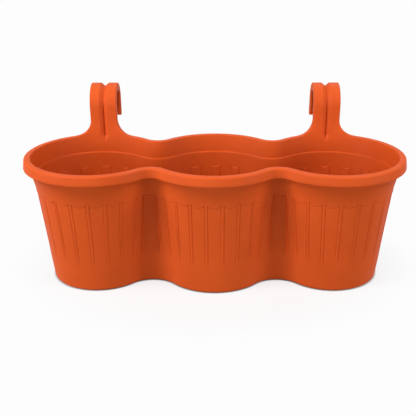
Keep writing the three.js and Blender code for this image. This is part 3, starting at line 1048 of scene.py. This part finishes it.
    def build(self, material: Material) -> Object:
        """Build the whole shell.

        Args:
            material: Its finish.

        Returns:
            One closed mesh.
        """
        columns = self.columns()
        rows = self.rows(columns)
        count = len(columns.along)
        vertices, outward, flats = [], [], []
        panel_half = self.panel_width / 2
        spread = self.spread_inwards + self.spread_outwards
        pattern_neck = self.plan.wall(self.plan.pattern_height).neck
        on_panel = np.minimum(columns.panel_offset / panel_half, 1.0)
        corner = self.scallop_low + self.scallop_sag
        for row in rows:
            height = np.broadcast_to(row.height, count)
            base = self.plan.rim if row.on_rim else self.plan.wall(height)
            radii = base.inset(row.depth)
            # The neck panels widen downwards, and the ribs next to them lean with their edges
            below = corner - np.clip(height, self.flute_foot, corner)
            x, y, nx, ny = self.plan.points(radii, columns, columns.along + columns.lean * below)
            half_angle = (panel_half + spread * below / 2) / pattern_neck
            chord = 1.0 - np.cos(half_angle) / np.cos(half_angle * on_panel)
            vertices.append(np.stack([x, y + ROW_OFFSET, height], axis=1))
            outward.append(np.stack([nx, ny, np.zeros(count)], axis=1))
            flats.append(chord * radii.neck)
        shell = new_object("planter_shell", np.concatenate(vertices), skin_faces(len(rows), count))
        values = {
            "offset": np.tile(columns.flute_offset, len(rows)) * MM,
            "half": np.tile(columns.flute_half, len(rows)) * MM,
            "flute share": np.tile(columns.flute_share, len(rows)),
            "panel offset": np.tile(columns.panel_offset, len(rows)) * MM,
            "panel flat": np.concatenate(flats) * MM,
            "relief share": np.repeat([row.relief for row in rows], count),
            "outward": np.concatenate(outward),
        }
        for name, numbers in values.items():
            set_attribute(shell, name, numbers)
        return run_tree(shell, self.relief_tree(), {**self.relief_sizes(), "Material": material})


class Across(Enum):
    """How a point of the hook's section is placed across it."""

    MIDDLE = "by its distance from the middle"
    FLAT = "by its share of the flat beside the groove"
    FLOOR = "by its share of the channel's floor"
    EDGE = "by its distance in from the hook's edge"


BENT_BY = ("across", "along", "depth", "bow")


@dataclass
class RailHook:
    """A channel hook that flares out of the collar, with a V groove down its face."""

    centre: float
    rim_height: float = 188.0
    ledge_height: float = 162.0
    collar_at_rim: float = 93.5
    collar_at_ledge: float = 90.4
    width: float = 41.3
    depth: float = 11.4
    depth_at_rim: float = 8.75
    wall: float = 2.6
    rail_gap: float = 40.0
    spring_height: float = 232.8
    tip_height: float = 207.0
    flare_radius: float = 24.0
    corner: float = 1.3
    groove_width: float = 12.4
    groove_depth: float = 5.0
    groove_foot: float = 175.0
    groove_margin: float = 0.5
    blend: float = 7.0
    edge_break: float = 0.45
    floor_fillet: float = 0.8
    root_foot: float = 172.5
    root_heights: tuple[float, ...] = (176.0, 179.5, 182.5, 184.5, 186.0)
    root_depth: float = 1.7
    root_fade: float = 8.0
    root_inset: float = 0.1
    proud_below: float = 0.04
    sunk_below: float = 0.03
    meet_drop: float = 0.5
    flare_foot: float = 186.2
    backing_foot: float = 172.4
    backing_top: float = 186.7
    backing_face: float = 1.3
    cutter_face: float = -5.0
    plate_inset: float = 0.6
    plate_cut: float = 0.8

    @property
    def meet(self) -> float:
        """Height at which the collar's leaning face meets the hook's upright one."""
        return self.rim_height - self.meet_drop

    @property
    def arch_radius(self) -> float:
        """Outer radius of the arch over the rail."""
        return self.rail_gap / 2 + self.depth

    @property
    def groove_slope(self) -> float:
        """How far a flank of the groove runs across for each millimetre of depth."""
        return self.groove_width / 2 / self.groove_depth

    @property
    def behind_groove(self) -> float:
        """Depth of material behind the groove that keeps the wall's thickness."""
        return self.wall * math.hypot(1.0, self.groove_slope) / self.groove_slope

    def collar_face(self, height: np.ndarray | float) -> np.ndarray | float:
        """Return the radius of the collar's inner face at a height."""
        share = (self.meet - height) / (self.meet - self.ledge_height)
        return mix(self.collar_at_rim, self.collar_at_ledge, share)

    def section(self) -> list[tuple[Across, float, float]]:
        """Draw half of the channel section, from the groove out to the side and back inside.

        Returns:
            (how it is placed, place, depth) of each point.
        """
        wall, depth, small = self.wall, self.depth, self.edge_break
        half_groove, fillet = self.groove_width / 2, self.floor_fillet
        middle = [(0.0, self.groove_depth)]
        middle += [(half_groove - k, k / self.groove_slope) for k in (4.0, 1.6, 0.7)]
        middle += [(half_groove - 0.1, 0.09), (half_groove + self.groove_margin, 0.0)]
        flat = [(share, 0.0) for share in (0.12, 0.25, 0.38, 0.5, 0.62, 0.74, 0.86, 0.95)]
        turns = [math.radians(degrees) for degrees in (0, 18, 36, 54, 72, 90)]
        edge = [(self.corner * (1 - math.sin(a)), self.corner * (1 - math.cos(a))) for a in turns]
        edge += [(0.0, depth * 0.5), (0.0, depth - small), (small * 0.3, depth - small * 0.3)]
        edge += [(small, depth), (wall - small, depth), (wall, depth - small), (wall, depth * 0.55)]
        edge += [(wall, wall + fillet), (wall + 0.25, wall + 0.25), (wall + fillet, wall)]
        floor = [(share, wall) for share in (0.8, 0.6, 0.4, 0.2, 0.0)]
        back = [(0.0, self.groove_depth + self.behind_groove)]
        kinds = (Across.MIDDLE, Across.FLAT, Across.EDGE, Across.FLOOR, Across.MIDDLE)
        runs = zip(kinds, (middle, flat, edge, floor, back))
        return [(kind, *point) for kind, points in runs for point in points]

    def ring(self, path: float, flare: float | None, root: bool) -> np.ndarray:
        """Lay one section across the hook.

        Args:
            path: How far up and over the hook the section lies, in millimetres.
            flare: Angle along the flare in radians, or None past it.
            root: True for a section buried in the collar.

        Returns:
            Rows of across, along, depth and bow, with a column for each point the whole section round.
        """
        half, r, radius = self.width / 2, self.corner, self.flare_radius
        flare_top = self.rim_height + radius
        pocket_mid = self.groove_slope * (self.groove_depth + self.behind_groove - self.wall)

        def edge(offset: float) -> tuple[float, float]:
            """Find the hook's edge.

            Args:
                offset: How far inside the edge to look.

            Returns:
                The place across and the place along.
            """
            if flare is None:
                return half - offset, path
            reach = radius + offset
            along = flare_top - reach * math.cos(flare)
            return half + radius - reach * math.sin(flare), path if root else max(along, self.flare_foot)

        face_along = edge(r)[1]
        flats = self.groove_width / 2 + self.groove_margin, edge(r)[0]
        floors = pocket_mid, edge(self.wall + self.floor_fillet)[0]
        points = []
        for kind, place, deep in self.section():
            if kind is Across.EDGE:
                points.append((*edge(place), deep))
            elif kind is Across.MIDDLE:
                points.append((place, face_along, deep))
            else:
                points.append((mix(*(flats if kind is Across.FLAT else floors), place), face_along, deep))
        return self.placed(*np.array(points).T, edge(0.0)[0], root)

    def placed(
        self, across: np.ndarray, along: np.ndarray, depth: np.ndarray, edge: float, root: bool
    ) -> np.ndarray:
        """Bend a section to the collar near the rim, and mirror it.

        Args:
            across: Distances from the hook's middle.
            along: Distances up and over the hook.
            depth: Depths behind the hook's face.
            edge: Distance from the middle to the hook's edge.
            root: True for a section buried in the collar.

        Returns:
            Rows of across, along, depth and bow, with a column for each point the whole section round.
        """
        rise = smoothstep(along, self.rim_height, self.rim_height + self.flare_radius)
        bend = 1.0 - rise
        deepest = mix(self.depth, self.depth_at_rim, bend)
        depth = depth * (self.root_depth / self.depth) if root else np.minimum(depth, deepest)
        leaning, upright = self.collar_face(along), self.collar_at_rim
        gap = np.clip(1.0 - np.abs(along - self.meet) / self.blend, 0.0, 1.0)
        slope = (self.collar_at_rim - self.collar_at_ledge) / (self.meet - self.ledge_height)
        eased_in = slope * self.blend / 4 * gap**2
        middle = 1.0 - smoothstep(across / edge, 0.5, 0.93)
        bury = 1.0 - smoothstep(along, self.root_foot, self.root_foot + self.root_fade)
        # Below the rim the middle stands a hair proud of the collar and the sides a hair inside it
        below = along < self.meet
        proud = middle * (eased_in + self.proud_below * below)
        proud = proud - self.sunk_below * (1.0 - middle) * below - self.root_inset * bury
        face = np.minimum(leaning, upright)
        bent = np.sqrt(face**2 - across**2) - face
        bow = face - upright + bend * bent - proud
        half = np.stack([across, along, depth, bow])
        other = half[:, -2:0:-1] * [[-1], [1], [1], [1]]  # the same places on the other side
        return np.concatenate([half, other], axis=1)

    def bend_tree(self) -> NodeTree:
        """Build the tree that bends the flat channel up and over the rail.

        Returns:
            A tree that places each point from how far along and how deep it lies.
        """
        sizes = ("Front", "Spring Height", "Arch Radius")
        tree, known = new_geometry_tree("bend_over_rail", sizes, BENT_BY)
        steps = [
            ("past spring", Step.SUBTRACT, "along", "Spring Height"),
            ("on arch", Step.MOST, "past spring", 0.0),
            ("turned", Step.DIVIDE, "on arch", "Arch Radius"),
            ("angle", Step.LEAST, "turned", math.pi),
            ("sine", Step.SINE, "angle"),
            ("cosine", Step.COSINE, "angle"),
            ("past arch", Step.SUBTRACT, "turned", "angle"),
            ("down", Step.MULTIPLY, "past arch", "Arch Radius"),
            ("inner", Step.SUBTRACT, "Arch Radius", "depth"),
            ("ahead", Step.MULTIPLY, "inner", "cosine"),
            ("out", Step.SUBTRACT, "Arch Radius", "ahead"),
            ("face", Step.ADD, "Front", "bow"),
            ("y", Step.ADD, "face", "out"),
            ("level", Step.LEAST, "along", "Spring Height"),
            ("up", Step.MULTIPLY_ADD, "inner", "sine", "level"),
            ("z", Step.SUBTRACT, "up", "down"),
        ]
        add_steps(tree, known, steps)
        place = add_node(tree, "ShaderNodeCombineXYZ", inputs=[known["across"], known["y"], known["z"]])
        inputs = {"Geometry": known["Geometry"], "Position": place}
        return finish_geometry_tree(tree, known, add_node(tree, "GeometryNodeSetPosition", inputs=inputs))

    def build(self, name: str, material: Material) -> Object:
        """Build the hook.

        Args:
            name: Name of the piece.
            material: Its finish.

        Returns:
            One closed mesh.
        """
        rings = [self.ring(z, 0.0, True) for z in (self.root_foot, *self.root_heights)]
        rings += [self.ring(0.0, math.radians(a), False) for a in np.linspace(0, 90, 19)]
        flare_top = self.rim_height + self.flare_radius
        arch = math.pi * self.arch_radius
        leg = self.spring_height - self.tip_height
        paths = list(np.linspace(flare_top, self.spring_height, 6)[1:])
        paths += [self.spring_height + arch * k / 40 for k in range(1, 41)]
        paths += [self.spring_height + arch + leg * k / 4 for k in range(1, 5)]
        rings += [self.ring(path, None, False) for path in paths]
        points = np.concatenate(rings, axis=1)
        across, along, depth, _ = points
        flat = np.stack([across, depth, along], axis=1)
        hook = new_object(name, flat, skin_faces(len(rings), rings[0].shape[1]))
        points[0] += self.centre
        for key, numbers in zip(BENT_BY, points):
            set_attribute(hook, key, numbers * MM)
        sizes = {
            "Front": (ROW_OFFSET + self.collar_at_rim) * MM,
            "Spring Height": self.spring_height * MM,
            "Arch Radius": self.arch_radius * MM,
            "Material": material,
        }
        run_tree(hook, self.bend_tree(), sizes)
        return joined(hook, [self.tip_plate(material)], Join.ADD)

    def tip_plate(self, material: Material) -> Object:
        """Close the end of the channel with a plate.

        Args:
            material: Its finish.

        Returns:
            A small closed block across the tip.
        """
        gap, cut = self.plate_inset, self.plate_cut
        half, back = self.width / 2 - gap, ROW_OFFSET + self.collar_at_rim + 2 * self.arch_radius
        outline = [
            (0.0, back - self.groove_depth - gap),
            (self.groove_width / 2, back - gap),
            (half - cut, back - gap),
            (half, back - (gap + cut)),
            (half, back - self.depth + 0.5),
            (half - 0.5, back - self.depth + 0.1),
        ]
        whole = outline + [(-x, y) for x, y in outline[:0:-1]]
        placed = [(self.centre + x, y) for x, y in whole]
        heights = (self.tip_height + 0.05, self.tip_height + self.wall)
        plate = lofted_object("hook_tip_plate", [(z, placed) for z in heights])
        plate.data.materials.append(material)
        return plate

    def groove_wedge(self, name: str, front: float, behind: float, top: float) -> Object:
        """Make the three-sided wedge along which the groove runs out down the collar.

        Args:
            name: Name of the piece.
            front: Depth at which the wedge's front face lies.
            behind: How much deeper than the groove its back edge lies.
            top: Height of its top.

        Returns:
            A closed wedge.
        """
        levels = []
        for z in (self.backing_foot, top):
            groove = self.groove_depth * (z - self.groove_foot) / (self.rim_height - self.groove_foot)
            apex = groove + behind
            half = self.groove_slope * (apex - front)
            face = ROW_OFFSET + self.collar_face(z)
            corners = [(-half, face + front), (half, face + front), (0.0, face + apex)]
            levels.append((z, [(self.centre + x, y) for x, y in corners]))
        return lofted_object(name, levels)

    def groove_backing(self) -> Object:
        """Return the solid that keeps the wall's thickness behind the groove on the collar."""
        return self.groove_wedge("groove_backing", self.backing_face, self.behind_groove, self.backing_top)

    def groove_cutter(self) -> Object:
        """Return the cutter that runs the groove out to a point on the collar."""
        return self.groove_wedge("groove_cut", self.cutter_face, 0.0, self.rim_height)


@dataclass
class Underside:
    """The hollow foot's stiffening ribs, drain bosses and drain holes."""

    plan: Plan
    drain_radius: float = 6.5
    boss_radius: float = 10.0
    boss_lift: float = 1.5
    floor_middle: float = 7.3
    rib_width: float = 2.4
    rib_lift: float = 2.5
    foot_width: float = 5.0
    rib_spread: float = 40.0
    floor_top: float = 8.6
    boss_break: float = 0.5
    drain_break: float = 0.4
    cutter_ends: tuple[float, float] = (-2.0, 30.0)
    cutter_margin: float = 0.2

    def rib_tree(self) -> NodeTree:
        """Build the tree that fans the ribs out of each drain boss.

        Returns:
            A tree that sets a bar on each point, turned and stretched by the point's attributes.
        """
        tree, known = new_geometry_tree("underside_ribs", ("Rib Width", "Rib Height"), ("length", "turn"))
        sizes = [1.0, known["Rib Width"], known["Rib Height"]]
        section = add_node(tree, "ShaderNodeCombineXYZ", inputs=sizes)
        inputs = {
            "Points": known["Geometry"],
            "Instance": add_node(tree, "GeometryNodeMeshCube", inputs={"Size": section}),
            "Rotation": add_node(tree, "ShaderNodeCombineXYZ", inputs={2: known["turn"]}),
            "Scale": add_node(tree, "ShaderNodeCombineXYZ", inputs=[known["length"], 1.0, 1.0]),
        }
        bars = add_node(tree, "GeometryNodeInstanceOnPoints", inputs=inputs)
        return finish_geometry_tree(tree, known, bars)

    def ribs(self, material: Material) -> list[Object]:
        """Make the ribs, one solid for each.

        Args:
            material: Their finish.

        Returns:
            The rib solids.
        """
        end_reach = self.plan.foot.end - self.foot_width / 2
        bars = [(0.0, 0.0, 2 * (self.plan.pitch + end_reach))]
        for x in CUP_CENTRES:
            radius = self.plan.foot.mid if x == 0.0 else self.plan.foot.end
            reach = radius - self.foot_width / 2
            bars += [(x, 90.0 + spread, 2 * reach) for spread in (-self.rib_spread, 0.0, self.rib_spread)]
        height = self.floor_middle - self.rib_lift
        tree = self.rib_tree()
        pieces = []
        for i, (x, degrees, length) in enumerate(bars):
            place = np.array([[x, ROW_OFFSET, self.rib_lift + height / 2]])
            rib = new_object(f"underside_rib_{i}", place, [])
            set_attribute(rib, "length", np.array([length * MM]))
            set_attribute(rib, "turn", np.array([math.radians(degrees)]))
            sizes = {"Rib Width": self.rib_width * MM, "Rib Height": height * MM, "Material": material}
            pieces.append(run_tree(rib, tree, sizes))
        return pieces

    def bosses(self) -> list[Object]:
        """Return the round bosses that the drains pass through."""
        r, low, high, cut = self.boss_radius, self.boss_lift, self.floor_middle, self.boss_break
        profile = [(0, low), (r - cut, low), (r, low + cut), (r, high), (0, high)]
        return [turned_object(f"drain_boss_{i}", profile, x) for i, x in enumerate(CUP_CENTRES)]

    def drains(self) -> list[Object]:
        """Make the cutters of the drain holes, with a broken edge at the floor.

        Returns:
            One cutter for each cup.
        """
        r, floor, cut, (foot, top) = self.drain_radius, self.floor_top, self.drain_break, self.cutter_ends
        wide, over = r + cut + self.cutter_margin, floor + self.cutter_margin
        profile = [(0, foot), (r, foot), (r, floor - cut), (wide, over), (wide, top), (0, top)]
        return [turned_object(f"drain_{i}", profile, x) for i, x in enumerate(CUP_CENTRES)]


@dataclass
class DrainPlug:
    """A lift-out plug: tapered hollow shank, head that lies on the floor, and a knob to pull."""

    side: str
    centre: float
    drain_radius: float = 6.5
    clearance: float = 0.3
    head_radius: float = 12.0
    head_thickness: float = 2.6
    wall: float = 1.8
    taper: float = 0.6
    shank_foot: float = 2.0
    floor_top: float = 8.6
    knob_radius: float = 4.6
    knob_height: float = 8.5
    knob_thickness: float = 3.0
    neck_radius: float = 2.7
    shank_fit: float = 0.05
    tip_break: float = 0.3
    root_round: float = 0.5
    head_break: float = 0.4
    head_round: float = 1.2
    neck_fillet: float = 1.4
    knob_round: tuple[float, float] = (1.6, 1.3)
    dimple_radius: float = 0.8
    dimple_depth: float = 0.35

    def build(self, material: Material) -> Object:
        """Turn the plug.

        Args:
            material: Its finish.

        Returns:
            One closed mesh.
        """
        under, foot = self.floor_top + self.clearance, self.shank_foot
        shank = self.drain_radius - self.clearance
        bore, tip = shank - self.wall, shank - self.taper
        tip_bore = tip - self.wall
        top = under + self.head_thickness
        knob_top = top + self.knob_height
        knob_foot = knob_top - self.knob_thickness
        head, neck, knob = self.head_radius, self.neck_radius, self.knob_radius
        fit, cut, edge, fillet = self.shank_fit, self.tip_break, self.head_break, self.neck_fillet
        knob_in, knob_down = self.knob_round
        dimple = knob_top - self.dimple_depth
        profile = [(0, under), (bore - self.root_round, under), (bore - fit, under - self.root_round)]
        profile += [(tip_bore, foot + cut), (tip_bore + cut, foot), (tip - cut, foot), (tip, foot + cut)]
        profile += [(shank - fit, under - edge), (shank + cut, under)]
        profile += [(head - edge, under), (head, under + edge)]
        profile += quarter_round((head, top - self.head_round), (head - self.head_round, top), 4, True)
        profile += quarter_round((neck + fillet, top), (neck, top + fillet), 4, False)
        profile += quarter_round((neck, knob_foot - fillet), (knob, knob_foot), 3, True)
        profile += quarter_round((knob, knob_top - knob_down), (knob - knob_in, knob_top), 5, True)
        profile += [(self.dimple_radius + cut, knob_top), (self.dimple_radius, dimple), (0, dimple)]
        plug = turned_object(f"plug_{self.side}", profile, self.centre)
        plug.data.materials.append(material)
        shade(plug, 38)
        return plug


@dataclass(frozen=True)
class SoftBox:
    """A soft rectangular lamp: its place and its width and height in metres, and its power in watts."""

    name: str
    place: tuple[float, float, float]
    size: tuple[float, float]
    power: float

    def hang(self, look_at: Vector) -> None:
        """Hang the lamp.

        Args:
            look_at: The point that it faces, in metres.
        """
        data = bpy.data.lights.new(self.name, "AREA")
        data.shape, data.size, data.size_y, data.energy = "RECTANGLE", *self.size, self.power
        lamp = linked(self.name, data)
        lamp.location = self.place
        lamp.rotation_euler = (look_at - Vector(self.place)).to_track_quat("-Z", "Y").to_euler()


SOFT_BOXES = (
    SoftBox("left_softbox", (-1.9, -1.0, 2.3), (1.2, 1.2), 82.0),
    SoftBox("right_softbox", (1.9, -1.0, 2.3), (1.2, 1.2), 48.0),
    SoftBox("left_side_softbox", (-2.36, -1.28, 0.45), (0.9, 0.8), 29.0),
    SoftBox("right_side_softbox", (2.36, -1.28, 0.45), (0.9, 0.8), 26.0),
    SoftBox("low_softbox", (-0.6, -3.1, 0.38), (1.4, 0.6), 26.0),
    SoftBox("back_softbox", (0.3, 1.9, 2.6), (1.8, 1.4), 30.0),
)


@dataclass(frozen=True)
class Studio:
    """Pale floor, soft lamps and the camera at the photograph's angle, in metres and degrees."""

    look_at: tuple[float, float, float] = (0.0, -0.02495, 0.094)
    distance: float = 1.09159
    elevation: float = 22.759
    yaw: float = -0.365
    roll: float = 0.115
    lens: float = 62.378
    sensor_width: float = 36.0
    clip: tuple[float, float] = (0.05, 50.0)
    shift: tuple[float, float] = (-0.01639, 0.01108)
    backdrop: str = "FDFDFD"
    soft_strength: float = 0.03
    floor_reach: float = 12.0
    floor_shade: str = "707070"
    floor_bounce: str = "6A6A6A"
    floor_glow: float = 0.75
    # Reach and strength of the painted contact shadow that ambient occlusion puts into the floor's glow
    painted_contact_shade_mm: float = 3.2
    painted_contact_shade_power: float = 2.0
    run_out: tuple[float, float] = (0.15, 0.26)
    run_out_shape: tuple[float, float, float] = (0.75, 1.0, 1.0)

    def camera(self) -> None:
        """Make the camera and give it to the scene."""
        tilt, turn, roll = (math.radians(a) for a in (self.elevation, self.yaw, self.roll))
        ahead = Vector((math.sin(turn) * math.cos(tilt), math.cos(turn) * math.cos(tilt), -math.sin(tilt)))
        right = Vector((math.cos(turn), -math.sin(turn), 0.0))
        up = Vector((math.sin(turn) * math.sin(tilt), math.cos(turn) * math.sin(tilt), math.cos(tilt)))
        side = right * math.cos(roll) - up * math.sin(roll)
        over = right * math.sin(roll) + up * math.cos(roll)
        data = bpy.data.cameras.new("camera")
        data.sensor_width, data.lens = self.sensor_width, self.lens
        data.shift_x, data.shift_y = self.shift
        data.clip_start, data.clip_end = self.clip
        camera = linked("camera", data)
        turned = Matrix((side, over, -ahead)).transposed().to_4x4()
        camera.matrix_world = Matrix.Translation(Vector(self.look_at) - ahead * self.distance) @ turned
        bpy.context.scene.camera = camera

    def world(self) -> None:
        """Give a plain pale light from all round, and white where the camera sees past the floor."""
        world = bpy.data.worlds.new("studio")
        world.use_nodes = True
        tree = world.node_tree
        tree.nodes.clear()
        soft = add_node(tree, "ShaderNodeBackground", inputs=[linear("FFFFFF"), self.soft_strength])
        white = add_node(tree, "ShaderNodeBackground", inputs=[linear(self.backdrop), 1.0])
        both = add_node(tree, "ShaderNodeMixShader", inputs=[seen_directly(tree), soft, white])
        add_node(tree, "ShaderNodeOutputWorld", inputs={"Surface": both})
        bpy.context.scene.world = world

    def floor_material(self) -> Material:
        """Make the pale floor's finish, which shows white and keeps the planter's shadow.

        Returns:
            A material that is shadowed near the planter, with a painted contact shadow along the foot, and
            runs out to plain white further off.
        """
        material, tree = new_material("studio_floor")
        # Ambient occlusion near the foot, which paints the contact shadow into the floor's glow
        painted_contact_shade = add_node(
            tree, "ShaderNodeAmbientOcclusion", {"samples": 16}, {"Distance": self.painted_contact_shade_mm * MM}
        )
        place = add_node(tree, "ShaderNodeTexCoord").outputs["Object"]
        vectors = "ShaderNodeVectorMath"
        oval = add_node(tree, vectors, {"operation": "MULTIPLY"}, [place, self.run_out_shape])
        away = add_node(tree, vectors, {"operation": "LENGTH"}, [oval])
        known = {"open": painted_contact_shade.outputs["AO"], "away": away.outputs["Value"]}
        steps = [
            # A painted contact shadow: ambient occlusion darkens the floor's glow, as a thin dark line where
            # the foot meets the floor
            ("lit", Step.POWER, "open", self.painted_contact_shade_power),
            ("glow", Step.MULTIPLY, "lit", self.floor_glow),
            # Near the planter the floor keeps its shadow, and further off it is as white as the backdrop
            ("run out", Step.EASE, "away", *self.run_out, 0.0, 1.0),
        ]
        add_steps(tree, known, steps)
        pale = add_node(tree, "ShaderNodeEmission", inputs=[linear("FFFFFF"), known["glow"]])
        shadowed = add_node(tree, "ShaderNodeBsdfDiffuse", inputs={"Color": linear(self.floor_shade)})
        near = add_node(tree, "ShaderNodeAddShader", inputs=[pale, shadowed])
        far = add_node(tree, "ShaderNodeEmission", inputs=[linear(self.backdrop), 1.0])
        white = add_node(tree, "ShaderNodeMixShader", inputs=[known["run out"], near, far])
        # What the floor throws back on the planter is darker than what the camera sees
        matt = add_node(tree, "ShaderNodeBsdfDiffuse", inputs={"Color": linear(self.floor_bounce)})
        both = add_node(tree, "ShaderNodeMixShader", inputs=[seen_directly(tree), matt, white])
        add_node(tree, "ShaderNodeOutputMaterial", inputs={"Surface": both})
        return material

    def floor(self) -> None:
        """Lay the pale floor."""
        reach = self.floor_reach
        corners = [(-reach, -reach, 0), (reach, -reach, 0), (reach, reach, 0), (-reach, reach, 0)]
        mesh = bpy.data.meshes.new("studio_floor")
        mesh.from_pydata(corners, [], [[0, 1, 2, 3]])
        piece = linked("studio_floor", mesh)
        piece.data.materials.append(self.floor_material())

    def build(self) -> None:
        """Set up the whole studio."""
        self.camera()
        for box in SOFT_BOXES:
            box.hang(Vector(self.look_at))
        self.world()
        self.floor()


def build_body(material: Material) -> Object:
    """Build the one-piece moulding: shell, rim, hooks, underside and drains.

    Args:
        material: Its finish.

    Returns:
        The finished piece.
    """
    plan = Plan()
    body = FlutedShell(plan).build(material)
    log.info("shell: %d faces", len(body.data.polygons))
    hooks = [RailHook(x) for x in HOOK_CENTRES]
    added = [hook.build(f"rail_hook_{i}", material) for i, hook in enumerate(hooks)]
    added += [hook.groove_backing() for hook in hooks]
    underside = Underside(plan)
    added += underside.ribs(material) + underside.bosses()
    joined(body, added, Join.ADD)
    joined(body, [hook.groove_cutter() for hook in hooks] + underside.drains(), Join.CUT)
    shade(body, 35)
    return body


def main() -> None:
    """Build, dress and place every piece."""
    logging.basicConfig(level=logging.INFO, format="%(message)s")
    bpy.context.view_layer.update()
    scene = bpy.context.scene
    scene.view_settings.view_transform = "Standard"
    Studio().build()
    body = build_body(TERRACOTTA.build())
    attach(body, "planter")
    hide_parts("planter_body")
    log.info("planter body: %d faces", len(body.data.polygons))
    plug_finish = PLUG_TERRACOTTA.build()
    for side, centre in zip(("left", "centre", "right"), CUP_CENTRES):
        plug = DrainPlug(side, centre).build(plug_finish)
        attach(plug, f"plug_{side}")
        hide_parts(f"drain_plug_{side}")
        log.info("plug %s: %d faces", side, len(plug.data.polygons))


if __name__ == "__main__":
    main()
